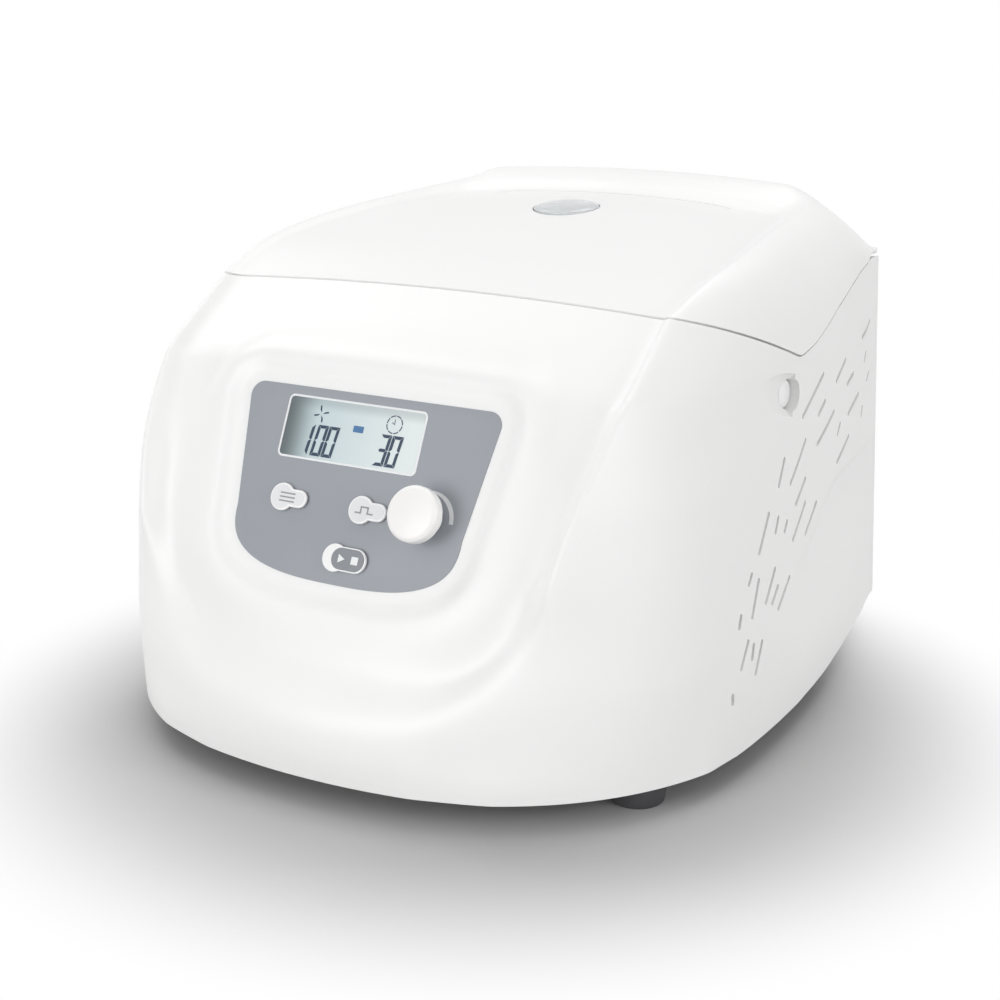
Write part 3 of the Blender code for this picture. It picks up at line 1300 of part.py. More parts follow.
def glass_frame():
    """The middle of the sight glass on the lid's top face, and its axis."""
    rows = len(LID_CENTRE_SHARES) - 1
    y = DEPTH * GLASS_Y_SHARE
    points = [scaled((0.0, *catmull(LID_CENTRE_SHARES, rows * step / (rows * ROW_STEPS))))
              for step in range(rows * ROW_STEPS + 1)]
    for low, high in zip(points, points[1:]):
        if low.y <= y <= high.y:
            middle = between(low, high, (y - low.y) / (high.y - low.y))
            along = (high - low).normalized()
    return middle + UP * LID_GAP + FORWARD * LID_FRONT_GAP, RIGHT.cross(along)


def make_sight_glass(looks, pivot):
    middle, axis = glass_frame()
    radius = GLASS_RADIUS - SEAT_GAP
    base = -WALL - SEAT_GAP
    profile = [
        (0.0, base), (radius, base), (radius, 0.0), (radius * 2 / 3, GLASS_DOME * 2 / 3), (0.0, GLASS_DOME),
    ]
    add_object("sight_glass", lathe(profile, middle, axis), looks["glass"], pivot)
    top = base - GLASS_RING_GAP
    inner = GLASS_RADIUS - GLASS_RING_WIDTH
    outer = GLASS_RADIUS + GLASS_RING_WIDTH
    ring = [
        (inner, top - GLASS_RING_HEIGHT), (outer, top - GLASS_RING_HEIGHT), (outer, top), (inner, top),
    ]
    add_object("sight_glass_ring", lathe(ring, middle, axis), looks["dark"], pivot)


def lid_rear_profile(x):
    """The lid's outer face above its rear seam at a distance from the middle, as (y, z) points."""
    rows = len(LID_CENTRE_SHARES) - 1
    found = []
    for step in range(ROW_STEPS + 1):
        row = lid_row(rows - step / ROW_STEPS)
        for low, high in zip(row, row[1:]):
            if low.x <= x <= high.x:
                point = between(low, high, (x - low.x) / (high.x - low.x))
                found.append((point.y + LID_FRONT_GAP, point.z + LID_GAP))
                break
    return found


def hinge_arc(start, end):
    """Points round the hinge's axis from one angle to another, as (y, z)."""
    points = []
    for step in range(HINGE_ARC_STEPS + 1):
        angle = between(start, end, step / HINGE_ARC_STEPS)
        y = HINGE_AXIS_Y + HINGE_BARREL_RADIUS * math.cos(angle)
        points.append((y, HINGE_AXIS_Z + HINGE_BARREL_RADIUS * math.sin(angle)))
    return points


def side_prism(outline, x_low, x_high):
    """Extrude a (y, z) outline across, from one x to another."""
    return prism(outline, Vector((x_low, 0.0, 0.0)), FORWARD, UP, x_high - x_low)


def hinge_hole(x_low, x_high, radius):
    start = Vector((x_low, HINGE_AXIS_Y, HINGE_AXIS_Z))
    return cylinder(radius, start, RIGHT, x_high - x_low, SMALL_SEGMENTS)


def make_hinges(looks):
    pivot = Vector((0.0, HINGE_AXIS_Y, HINGE_AXIS_Z))
    for name, side in (("left", -1), ("right", 1)):
        middle = side * HINGE_X
        half = HINGE_ARM_WIDTH / 2
        inner = abs(middle) - half
        lid_face = [(y + SEAT_GAP + HINGE_ARM_GAP, z) for y, z in lid_rear_profile(inner)]
        back = [(y + HINGE_PLATE_THICKNESS, z) for y, z in reversed(lid_face)]
        outline = lid_face + back + hinge_arc(ARM_ARC_START, ARM_ARC_END)
        arm = side_prism(outline, middle - half, middle + half)
        hole_radius = HINGE_PIN_RADIUS + SEAT_GAP
        arm = cut(arm, hinge_hole(middle - HINGE_ARM_WIDTH, middle + HINGE_ARM_WIDTH, hole_radius))
        add_object(f"lid_arm_{name}", arm, looks["white"], pivot)
        make_bracket(name, middle, looks)
        reach = half + PART_GAP + HINGE_CHEEK_WIDTH + SEAT_GAP
        start = Vector((middle - reach - HINGE_PIN_HEAD, HINGE_AXIS_Y, HINGE_AXIS_Z))
        pin = [
            (0.0, 0.0), (HINGE_PIN_RADIUS + HINGE_PIN_HEAD, 0.0),
            (HINGE_PIN_RADIUS + HINGE_PIN_HEAD, HINGE_PIN_HEAD), (HINGE_PIN_RADIUS, HINGE_PIN_HEAD),
            (HINGE_PIN_RADIUS, 2 * reach + 2 * HINGE_PIN_HEAD), (0.0, 2 * reach + 2 * HINGE_PIN_HEAD),
        ]
        add_object(f"hinge_pin_{name}", lathe(pin, start, RIGHT, SMALL_SEGMENTS), looks["steel"])


def make_bracket(name, middle, looks):
    face = DEPTH - REAR_MARGIN + SEAT_GAP
    low = HINGE_AXIS_Z - HINGE_PLATE_HEIGHT
    plate_top = HINGE_AXIS_Z - HINGE_BARREL_RADIUS - 2 * PART_GAP
    half = HINGE_ARM_WIDTH / 2 + PART_GAP
    reach = half + HINGE_CHEEK_WIDTH
    plate = box((middle - reach, face, low), (middle + reach, face + HINGE_PLATE_THICKNESS, plate_top))
    outline = [(face, low), (face + HINGE_PLATE_THICKNESS, low)]
    outline += [(face + HINGE_PLATE_THICKNESS, HINGE_AXIS_Z - HINGE_PLATE_HEIGHT / 2)]
    outline += hinge_arc(BRACKET_ARC_START, math.pi) + [(face, HINGE_AXIS_Z - HINGE_BARREL_RADIUS)]
    body = unite(
        plate,
        side_prism(outline, middle - reach, middle - half),
        side_prism(outline, middle + half, middle + reach),
    )
    hole = hinge_hole(middle - reach - CUT_OVERRUN, middle + reach + CUT_OVERRUN, HINGE_PIN_RADIUS + SEAT_GAP)
    add_object(f"hinge_bracket_{name}", cut(body, hole), looks["steel"])


def make_panel(looks):
    low = SEAT_GAP
    high = SEAT_GAP + PANEL_THICKNESS
    body = panel_prism(panel_outline(0.0), low, high)
    start = low - CUT_OVERRUN
    end = high + CUT_OVERRUN
    holes = [
        panel_prism(
            rectangle(SCREEN_WIDTH + PANEL_WINDOW_MARGIN, SCREEN_LENGTH + PANEL_WINDOW_MARGIN),
            start, end, SCREEN_X, SCREEN_UP,
        ),
        panel_cylinder(ENCODER_BUSH_RADIUS + PART_GAP, KNOB_X, KNOB_UP, start, end),
    ]
    for _, x, up in key_places():
        radius = KEY_RADIUS + PART_GAP
        holes.append(panel_cylinder(radius, x, up, start, end, KEY_SEGMENTS))
    add_object("panel_overlay", cut(body, *holes), looks["grey"])
    window = panel_prism(
        rectangle(SCREEN_WIDTH, SCREEN_LENGTH), SEAT_GAP, SEAT_GAP + SCREEN_THICKNESS, SCREEN_X, SCREEN_UP
    )
    add_object("screen_window", window, looks["screen"])
    module = panel_prism(
        rectangle(SCREEN_WIDTH + MODULE_MARGIN, SCREEN_LENGTH + MODULE_MARGIN),
        -BOARD_BEHIND + SEAT_GAP, -PANEL_SEAT - SEAT_GAP, SCREEN_X, SCREEN_UP,
    )
    add_object("screen_module", module, looks["dark"])


def make_keys(looks):
    for name, x, up in key_places():
        bottom = SEAT_GAP + KEY_TRAVEL
        outline = circle(KEY_RADIUS, KEY_SEGMENTS)
        cap = panel_prism(outline, bottom, bottom + KEY_HEIGHT, x, up)
        end = -BOARD_BEHIND + KEY_SWITCH_HEIGHT + KEY_TRAVEL + SEAT_GAP
        stem = panel_cylinder(KEY_STEM_RADIUS, x, up, end, bottom + KEY_HEIGHT / 2, TINY_SEGMENTS)
        body = unite(cap, stem)
        bevel_rim(body, on_panel(0.0, 0.0, bottom + KEY_HEIGHT), PANEL_NORMAL, KEY_FILLET)
        add_object(name, body, looks["white"], on_panel(x, up, bottom))


def bevel_rim(body, point, normal, width):
    """Round the edges that lie in one plane."""
    edges = []
    for edge in body.edges:
        if all(abs((vert.co - point).dot(normal)) < SEAT_GAP / 3 for vert in edge.verts):
            if edge.calc_face_angle(0.0) > math.pi / 4:
                edges.append(edge)
    bmesh.ops.bevel(body, geom=edges, offset=width, segments=2, profile=0.5, affect="EDGES", material=-1)


def make_knob(looks):
    low = SEAT_GAP + PANEL_THICKNESS + KNOB_LIFT
    start = on_panel(KNOB_X, KNOB_UP, low)
    small = KNOB_RADIUS - KNOB_FILLET
    bore = KNOB_BORE_RADIUS
    profile = [
        (0.0, KNOB_BORE_DEPTH), (bore, KNOB_BORE_DEPTH), (bore, 0.0), (KNOB_RADIUS, 0.0),
        (KNOB_RADIUS * KNOB_DRAFT_SHARE, KNOB_HEIGHT - KNOB_FILLET),
    ]
    for step in range(1, KNOB_FILLET_STEPS + 1):
        angle = math.pi / 2 * step / KNOB_FILLET_STEPS
        radius = small * KNOB_DRAFT_SHARE + KNOB_FILLET * math.cos(angle)
        profile.append((radius, KNOB_HEIGHT - KNOB_FILLET + KNOB_FILLET * math.sin(angle)))
    profile.append((0.0, KNOB_HEIGHT))
    add_object("speed_knob", lathe(profile, start, PANEL_NORMAL), looks["white"], start)


def make_electronics(looks):
    top = -BOARD_BEHIND
    body = panel_prism(
        rectangle(BOARD_WIDTH, BOARD_LENGTH), top - BOARD_THICKNESS, top, 0.0, BOARD_UP
    )
    for side in (-1, 1):
        for level in (-1, 1):
            x = side * BOARD_POST_X
            up = BOARD_UP + level * (BOARD_LENGTH / 2 - BOARD_POST_INSET)
            post = panel_cylinder(
                BOARD_POST_RADIUS, x, up, top - BOARD_THICKNESS / 2, -PANEL_SEAT - SEAT_GAP, TINY_SEGMENTS
            )
            body = unite(body, post)
    for _, x, up in key_places():
        outline = rectangle(KEY_SWITCH_WIDTH, KEY_SWITCH_WIDTH)
        body = unite(body, panel_prism(outline, top - BOARD_THICKNESS / 2, top + KEY_SWITCH_HEIGHT, x, up))
    add_object("control_board", body, looks["board"])
    low = top + SEAT_GAP
    body = panel_prism(
        rectangle(ENCODER_WIDTH, ENCODER_WIDTH), low, low + ENCODER_HEIGHT, KNOB_X, KNOB_UP
    )
    bush = panel_cylinder(ENCODER_BUSH_RADIUS, KNOB_X, KNOB_UP, low, PANEL_THICKNESS)
    shaft_end = SEAT_GAP + PANEL_THICKNESS + KNOB_LIFT + KNOB_BORE_DEPTH - SEAT_GAP
    shaft = panel_cylinder(ENCODER_SHAFT_RADIUS, KNOB_X, KNOB_UP, low, shaft_end)
    add_object("encoder", unite(body, bush, shaft), looks["steel"])


def make_power_board(looks):
    middle = Vector((POWER_BOARD_X, POWER_BOARD_Y, 0.0))
    low = BASE_THICKNESS + SEAT_GAP + POWER_BOARD_STANDOFF
    body = centred_box(
        middle + UP * (low + BOARD_THICKNESS / 2), (POWER_BOARD_WIDTH, POWER_BOARD_LENGTH, BOARD_THICKNESS)
    )
    for side in (-1, 1):
        for level in (-1, 1):
            x = side * (POWER_BOARD_WIDTH / 2 - BOARD_POST_INSET)
            y = level * (POWER_BOARD_LENGTH / 2 - BOARD_POST_INSET)
            start = middle + Vector((x, y, BASE_THICKNESS + SEAT_GAP))
            length = POWER_BOARD_STANDOFF + BOARD_THICKNESS / 2
            body = unite(body, cylinder(BOARD_POST_RADIUS, start, UP, length, TINY_SEGMENTS))
    add_object("power_board", body, looks["board"])
    top = low + BOARD_THICKNESS + SEAT_GAP
    block = middle + Vector((-POWER_BOARD_WIDTH / 4, 0.0, top + TRANSFORMER_SIZE / 3))
    size = (TRANSFORMER_SIZE, TRANSFORMER_SIZE, TRANSFORMER_SIZE * 2 / 3)
    transformer = centred_box(block, size)
    bmesh.ops.bevel(
        transformer, geom=list(transformer.edges), offset=WALL / 2, segments=1, profile=0.5, affect="EDGES",
        material=-1,
    )
    add_object("transformer", transformer, looks["dark"])
    start = middle + Vector((POWER_BOARD_WIDTH / 4, 0.0, top))
    add_object("capacitor", cylinder(CAPACITOR_RADIUS, start, UP, CAPACITOR_HEIGHT), looks["steel"])


def make_release(looks):
    face = BUTTON_FACE_X
    inner = boss_inner_x() - SEAT_GAP
    rod_end = latch_front_x() - SEAT_GAP
    profile = [
        (0.0, 0.0), (BUTTON_ROD_RADIUS, 0.0), (BUTTON_ROD_RADIUS, inner - BUTTON_FLANGE - rod_end),
        (BUTTON_RADIUS + BUTTON_FLANGE, inner - BUTTON_FLANGE - rod_end),
        (BUTTON_RADIUS + BUTTON_FLANGE, inner - rod_end), (BUTTON_RADIUS, inner - rod_end),
        (BUTTON_RADIUS, face - rod_end - BUTTON_FILLET), (BUTTON_RADIUS - BUTTON_FILLET, face - rod_end),
        (0.0, face - rod_end),
    ]
    body = lathe(profile, button_start(rod_end), RIGHT, BUTTON_SEGMENTS)
    add_object("release_button", body, looks["white"], button_start(face))
    make_spring(looks, rod_end + SPRING_WIRE + SEAT_GAP, inner - BUTTON_FLANGE - SEAT_GAP - SPRING_WIRE)
    make_latch(looks)


def boss_inner_x():
    return BUTTON_FACE_X - SCOOP_DEPTH - WALL


def latch_front_x():
    return HOOK_X + LATCH_LENGTH / 2


def make_spring(looks, x_low, x_high):
    """A helical spring of one unbroken wire between two places along the button's rod."""
    least_gap = (x_high - x_low) / SPRING_TURNS - SPRING_WIRE
    print(f"release_spring: least gap between turns {least_gap * 1000:.2f} mm")
    count = SPRING_TURNS * SPRING_POINTS_PER_TURN
    rings = []
    part = bmesh.new()
    for step in range(count + 1):
        angle = math.tau * step / SPRING_POINTS_PER_TURN
        radial = Vector((0.0, math.cos(angle), math.sin(angle)))
        middle = button_start(between(x_low, x_high, step / count)) + radial * SPRING_RADIUS
        ring = []
        for a, b in circle(SPRING_WIRE / 2, SPRING_SIDES):
            ring.append(part.verts.new(middle + radial * a + RIGHT * b))
        rings.append(ring)
    for first, second in zip(rings, rings[1:]):
        for i in range(SPRING_SIDES):
            j = (i + 1) % SPRING_SIDES
            part.faces.new([first[i], first[j], second[j], second[i]])
    part.faces.new(rings[0])
    part.faces.new(rings[-1])
    add_object("release_spring", part, looks["steel"])


def make_latch(looks):
    half_x = LATCH_LENGTH / 2 - SEAT_GAP
    half_y = LATCH_WIDTH / 2
    top = BUTTON_Z + BOLT_THICKNESS / 2 + LATCH_LID
    bottom = BUTTON_Z - BOLT_THICKNESS / 2 - LATCH_LID
    body = box((HOOK_X - half_x, BUTTON_Y - half_y, bottom), (HOOK_X + half_x, BUTTON_Y + half_y, top))
    slot = centred_box(
        button_start(HOOK_X), (2 * LATCH_LENGTH, BOLT_WIDTH + 2 * PART_GAP, BOLT_THICKNESS + 2 * PART_GAP)
    )
    well_half = HOOK_WIDTH / 2 + LATCH_WELL_GAP
    well_low = (HOOK_X - HOOK_THICKNESS / 2 - HOOK_NOSE - PART_GAP, BUTTON_Y - well_half, 0.0)
    well_high = (HOOK_X + HOOK_THICKNESS / 2 + PART_GAP, BUTTON_Y + well_half, HEIGHT)
    for side in (-1, 1):
        middle = button_start((HOOK_X + boss_inner_x() - SEAT_GAP) / 2)
        middle.y += side * (half_y - LATCH_ARM_WIDTH / 2)
        size = (boss_inner_x() - SEAT_GAP - HOOK_X, LATCH_ARM_WIDTH, BOLT_THICKNESS + 2 * LATCH_LID)
        body = unite(body, centred_box(middle, size))
    body = cut(cut(body, slot), box(well_low, well_high))
    add_object("latch_block", body, looks["dark"])
    bolt_half = BOLT_WIDTH / 2
    low = (HOOK_X - half_x - BOLT_TAIL, BUTTON_Y - bolt_half, BUTTON_Z - BOLT_THICKNESS / 2)
    high = (HOOK_X + half_x - PART_GAP, BUTTON_Y + bolt_half, BUTTON_Z + BOLT_THICKNESS / 2)
    bolt = box(low, high)
    window_low = (HOOK_X - HOOK_THICKNESS / 2 - PART_GAP, BUTTON_Y - well_half, 0.0)
    window_high = (HOOK_X + HOOK_THICKNESS / 2 + BUTTON_TRAVEL + PART_GAP, BUTTON_Y + well_half, HEIGHT)
    bolt = cut(bolt, box(window_low, window_high))
    add_object("latch_bolt", bolt, looks["steel"], button_start(HOOK_X))


def build():
    clear_scene()
    looks = make_materials()
    make_housing(looks)
    make_base_pan(looks)
    make_feet(looks)
    make_rear_panel(looks)
    make_inlet(looks)
    make_switch(looks)
    make_fuse_drawer(looks)
    make_fan(looks)
    make_deck(looks)
    make_bowl(looks)
    make_gasket(looks)
    make_rotor(looks)
    make_drive(looks)
    make_lid(looks)
    make_hinges(looks)
    make_panel(looks)
    make_keys(looks)
    make_knob(looks)
    make_electronics(looks)
    make_power_board(looks)
    make_release(looks)


build()
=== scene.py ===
"""Looks of the high-speed bench centrifuge: fine skins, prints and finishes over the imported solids.

Lengths are metres. Shapes are worked out in body coordinates, with the nose of the base at y = 0 and
the bottom edge of the housing at z = 0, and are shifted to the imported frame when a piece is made.
"""
import math

import bmesh
import bpy
import numpy as np
from mathutils import Matrix, Vector


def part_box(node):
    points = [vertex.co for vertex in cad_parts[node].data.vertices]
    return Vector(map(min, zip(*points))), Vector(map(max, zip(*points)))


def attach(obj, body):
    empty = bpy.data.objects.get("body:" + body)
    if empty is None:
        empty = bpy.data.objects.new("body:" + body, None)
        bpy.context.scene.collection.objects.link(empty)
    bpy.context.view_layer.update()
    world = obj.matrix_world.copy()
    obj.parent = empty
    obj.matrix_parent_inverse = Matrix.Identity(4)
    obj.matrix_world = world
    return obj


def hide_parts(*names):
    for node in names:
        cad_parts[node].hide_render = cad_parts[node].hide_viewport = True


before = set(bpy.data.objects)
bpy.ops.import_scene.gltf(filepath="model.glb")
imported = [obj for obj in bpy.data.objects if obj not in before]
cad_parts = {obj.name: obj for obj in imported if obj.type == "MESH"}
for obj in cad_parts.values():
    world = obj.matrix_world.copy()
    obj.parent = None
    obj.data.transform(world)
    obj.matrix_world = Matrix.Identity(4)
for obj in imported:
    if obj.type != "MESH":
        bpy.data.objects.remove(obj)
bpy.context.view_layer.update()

WIDTH, DEPTH, HEIGHT = 0.280, 0.326, 0.206
FOOT_HEIGHT = 0.011
HALF_WIDTH = WIDTH / 2
CASE_WALL = 0.0028
LID_WALL = 0.0026
SIDE_DRAFT_SHARE = 0.04
SEAM_GAP = 0.0007

# Guide lines of the front, as shares of half the width, the depth and the height
CENTRE_SHARES = (
    (0.000, 0.000), (-0.006, 0.078), (-0.006, 0.141), (0.026, 0.168), (0.055, 0.252), (0.081, 0.335),
    (0.106, 0.422), (0.132, 0.510), (0.158, 0.592), (0.184, 0.675), (0.204, 0.738), (0.331, 0.845),
)
FLOOR_SHARES = (
    (0.357, 0.015, 0.000), (0.371, 0.012, 0.087), (0.400, 0.015, 0.160), (0.429, 0.046, 0.184),
    (0.586, 0.083, 0.257), (0.621, 0.095, 0.340), (0.650, 0.107, 0.417), (0.671, 0.129, 0.505),
    (0.700, 0.153, 0.592), (0.721, 0.190, 0.680), (0.739, 0.221, 0.723), (0.732, 0.319, 0.833),
)
CREASE_SHARES = (
    (0.536, 0.040, 0.000), (0.571, 0.038, 0.117), (0.600, 0.041, 0.204), (0.614, 0.044, 0.243),
    (0.643, 0.057, 0.320), (0.668, 0.069, 0.393), (0.689, 0.083, 0.461), (0.714, 0.104, 0.544),
    (0.739, 0.135, 0.621), (0.761, 0.178, 0.704), (0.764, 0.211, 0.743), (0.754, 0.304, 0.842),
)
CHEEK_SHARES = (
    (0.858, 0.112, 0.000), (0.905, 0.130, 0.078), (0.945, 0.150, 0.165), (0.952, 0.159, 0.214),
    (0.960, 0.174, 0.291), (0.965, 0.190, 0.369), (0.967, 0.207, 0.442), (0.964, 0.228, 0.524),
    (0.950, 0.255, 0.602), (0.943, 0.294, 0.689), (0.940, 0.320, 0.735), (0.921, 0.371, 0.811),
)
EDGE_SHARES = (
    (0.261, 0.000), (0.279, 0.087), (0.301, 0.204), (0.313, 0.262), (0.331, 0.340), (0.350, 0.408),
    (0.374, 0.471), (0.411, 0.539), (0.451, 0.592), (0.494, 0.636), (0.509, 0.684), (0.515, 0.723),
)
REAR_EDGE_SHARES = (
    0.000, 0.070, 0.160, 0.220, 0.310, 0.400, 0.480, 0.570, 0.660, 0.782, 0.806, 0.832,
)
SIDE_BOW_SHARES = (0.0, 0.0, 0.0, 0.0, 0.0, 0.005, 0.012, 0.02, 0.03, 0.042, 0.03, 0.014)
SIDE_PLAN_SHARES = (
    (0.262, 0.975), (0.328, 0.995), (0.442, 1.000), (0.549, 0.988), (0.699, 0.948), (0.902, 0.872),
    (1.000, 0.828),
)

# Guide lines of the lid, from the front seam to the rear edge
LID_CENTRE_SHARES = (
    (0.331, 0.845), (0.414, 0.883), (0.506, 0.913), (0.583, 0.934), (0.650, 0.949), (0.724, 0.956),
    (0.790, 0.956), (0.822, 0.981), (0.865, 0.998), (0.920, 0.988), (0.968, 0.948), (0.988, 0.845),
)
LID_FLOOR_SHARES = (
    (0.732, 0.319, 0.833), (0.743, 0.405, 0.876), (0.736, 0.491, 0.898), (0.707, 0.583, 0.913),
    (0.679, 0.656, 0.922), (0.650, 0.730, 0.927), (0.607, 0.788, 0.932), (0.586, 0.822, 0.961),
    (0.571, 0.865, 0.985), (0.543, 0.917, 0.971), (0.536, 0.963, 0.922), (0.536, 0.988, 0.842),
)
LID_CREASE_SHARES = (
    (0.754, 0.304, 0.842), (0.771, 0.399, 0.891), (0.764, 0.491, 0.915), (0.739, 0.589, 0.932),
    (0.714, 0.669, 0.942), (0.693, 0.745, 0.949), (0.671, 0.804, 0.956), (0.643, 0.844, 0.963),
    (0.614, 0.880, 0.968), (0.600, 0.926, 0.947), (0.600, 0.966, 0.903), (0.600, 0.988, 0.840),
)
LID_SHOULDER_SHARES = (
    (0.921, 0.371, 0.811), (0.936, 0.445, 0.854), (0.929, 0.509, 0.893), (0.914, 0.583, 0.913),
    (0.893, 0.663, 0.922), (0.871, 0.745, 0.927), (0.850, 0.822, 0.922), (0.829, 0.868, 0.908),
    (0.800, 0.911, 0.883), (0.786, 0.945, 0.859), (0.757, 0.972, 0.845), (0.714, 0.988, 0.836),
)
LID_SEAM_SHARES = (
    (0.515, 0.723), (0.546, 0.726), (0.583, 0.733), (0.632, 0.750), (0.693, 0.772), (0.761, 0.791),
    (0.828, 0.806), (0.883, 0.816), (0.920, 0.823), (0.951, 0.828), (0.975, 0.830), (0.988, 0.832),
)
HOUSING_GUIDES = (CENTRE_SHARES, FLOOR_SHARES, CREASE_SHARES, CHEEK_SHARES)
LID_GUIDES = (LID_CENTRE_SHARES, LID_FLOOR_SHARES, LID_CREASE_SHARES, LID_SHOULDER_SHARES)
REAR_CORNER_SHARE = 0.815
FOLD_SHARES = (0.30, 0.40, 0.40, 0.395)
FOLD_START_SHARE, FOLD_DEPTH, FOLD_WIDTH, FOLD_FADE = 0.52, 0.0020, 0.0024, (0.010, 0.060)
LID_CORNER_PLACE = 0.28
SLIT_WIDTH = 0.0022
SLIT_DEPTH = 0.0020
SLIT_SHARES = (
    ((0.46, 0.54), (0.44, 0.49)), ((0.54, 0.55), (0.48, 0.48)), ((0.54, 0.47), (0.50, 0.43)),
    ((0.41, 0.45), (0.38, 0.38)), ((0.44, 0.43), (0.43, 0.40)), ((0.47, 0.41), (0.46, 0.39)),
    ((0.54, 0.42), (0.49, 0.36)), ((0.59, 0.40), (0.54, 0.35)), ((0.36, 0.35), (0.35, 0.33)),
    ((0.38, 0.33), (0.36, 0.26)), ((0.43, 0.33), (0.40, 0.27)), ((0.44, 0.29), (0.42, 0.26)),
    ((0.48, 0.29), (0.44, 0.24)), ((0.33, 0.28), (0.325, 0.255)), ((0.35, 0.22), (0.33, 0.17)),
    ((0.365, 0.205), (0.36, 0.175)), ((0.39, 0.20), (0.37, 0.14)), ((0.31, 0.13), (0.31, 0.11)),
    ((0.62, 0.66), (0.525, 0.60)), ((0.75, 0.65), (0.69, 0.62)), ((0.81, 0.60), (0.76, 0.59)),
    ((0.94, 0.56), (0.91, 0.55)), ((0.63, 0.60), (0.595, 0.58)), ((0.68, 0.56), (0.59, 0.52)),
    ((0.85, 0.54), (0.77, 0.52)), ((0.88, 0.50), (0.87, 0.48)), ((0.72, 0.52), (0.70, 0.50)),
    ((0.78, 0.47), (0.70, 0.44)), ((0.94, 0.68), (0.87, 0.66)), ((0.90, 0.62), (0.89, 0.60)),
)

# Fineness of the skins: steps along each part of a half row, and rows between guide rows
TONGUE_STEPS = 64
SLOPE_STEPS = 4
CREASE_STEPS = 6
CHEEK_STEPS = 26
STRIP_STEPS = 5
SIDE_STEPS = 34
LEDGE_PASSES = 150
HOUSING_ROWS = ((0, 14), (2, 8), (3, 74), (9, 12), (11, 0))
LID_ROWS = ((0, 52), (6, 44), (11, 0))

# Control panel
PANEL_TILT = math.radians(25.0)
PANEL_MIDDLE = Vector((0.0, 0.0430, 0.1045))
PANEL_NORMAL = Vector((0.0, -math.cos(PANEL_TILT), math.sin(PANEL_TILT)))
PANEL_UP = Vector((0.0, math.sin(PANEL_TILT), math.cos(PANEL_TILT)))
RIGHT = Vector((1.0, 0.0, 0.0))
UP = Vector((0.0, 0.0, 1.0))
PANEL_TOP_HALF_WIDTH, PANEL_SIDE_HALF_WIDTH, PANEL_LENGTH = 0.0590, 0.0530, 0.0760
PANEL_SHOULDER_SHARE, PANEL_SWEEP_SHARE, PANEL_TOP_RADIUS = 0.17, 0.72, 0.006
PANEL_CORNER_STEPS, PANEL_SWEEP_STEPS = 10, 40
OVERLAY_LOW, OVERLAY_TOP = 0.0004, 0.0015
PRINT = 0.0001
SURROUND_FLAT, SURROUND_LIP = 0.0011, 0.0034
SURROUND_REACH, SURROUND_TOP_REACH = 0.038, 0.025
SCREEN_X, SCREEN_UP, SCREEN_WIDTH, SCREEN_LENGTH = -0.0065, 0.0215, 0.0642, 0.0240
KEYS = (("key_left", -0.0312, -0.0075), ("key_middle", 0.0065, -0.0075), ("key_lower", -0.0005, -0.0275))
KEY_RADIUS = 0.0056
KEY_FILLET, KEY_STEM = 0.0005, 0.0040
SELECT_BARS = tuple((0.0028, level, 0.0072, 0.0006) for level in (-0.0016, 0.0, 0.0016))
PULSE_BARS = (
    (-0.0010, -0.0012, 0.0024, 0.0006), (0.0004, 0.0, 0.0006, 0.0030), (0.0020, 0.0012, 0.0036, 0.0006),
    (0.0036, 0.0, 0.0006, 0.0030), (0.0050, -0.0012, 0.0024, 0.0006),
)
KEY_PILL, KEY_LIGHT_RIM = (0.0118, 0.0036), 0.0008
DIGITS = (("1", 0.0088), ("0", 0.0152), ("0", 0.0206), ("3", 0.0452), ("0", 0.0506))
DIGIT_SIZES, DIGIT_GAP, DIGIT_SLANT, DIGIT_UP = (0.0037, 0.0113, 0.0013), 0.00012, 0.12, 0.0018
KNOB_X, KNOB_UP, KNOB_RADIUS, KNOB_HEIGHT = 0.0365, -0.0065, 0.0110, 0.0130
KNOB_COLLAR, KNOB_RIM_LOW, KNOB_FILLET, KNOB_BORE = 0.0066, 0.0068, 0.0022, (0.0033, 0.0100)
SWEEP_PLACE, SWEEP_RADIUS, SWEEP_STEPS = (0.0355, -0.0070), 0.0112, 24

BUTTON = Vector((0.1302, 0.1606, 0.1350))
BUTTON_BORE_LENGTH = 0.050
BUTTON_RADIUS = 0.0059
BUTTON_GAP = 0.0005
BUTTON_LENGTH, BUTTON_FILLET = 0.0140, 0.0012
SCOOP_PLACE = Vector((0.1366, 0.1606, 0.1352))
SCOOP_HALF = Vector((0.0072, 0.0430, 0.0095))
SCOOP_TILT = math.radians(-15.0)
SCOOP_WALL = 0.0020
SCOOP_REACH = 0.060
SCOOP_BACK = 0.0105
SCOOP_SLAB, SCOOP_INSET = 0.0070, 0.0004
GLASS_RADIUS = 0.0150
GLASS_Y = 0.650 * DEPTH
GLASS_GAP = 0.0004
GLASS_LIFT = Vector((0.0, 0.0016, 0.0015))
GROOVE_PLACE, GROOVE_HALF, GROOVE_RADIUS = 6.02, 0.062, 0.0006

CAMERA_LENS, CAMERA_PLACE, CAMERA_DOWN, CAMERA_TURN = 66.6, (0.402, -0.527, 0.302), 16.16, 30.54

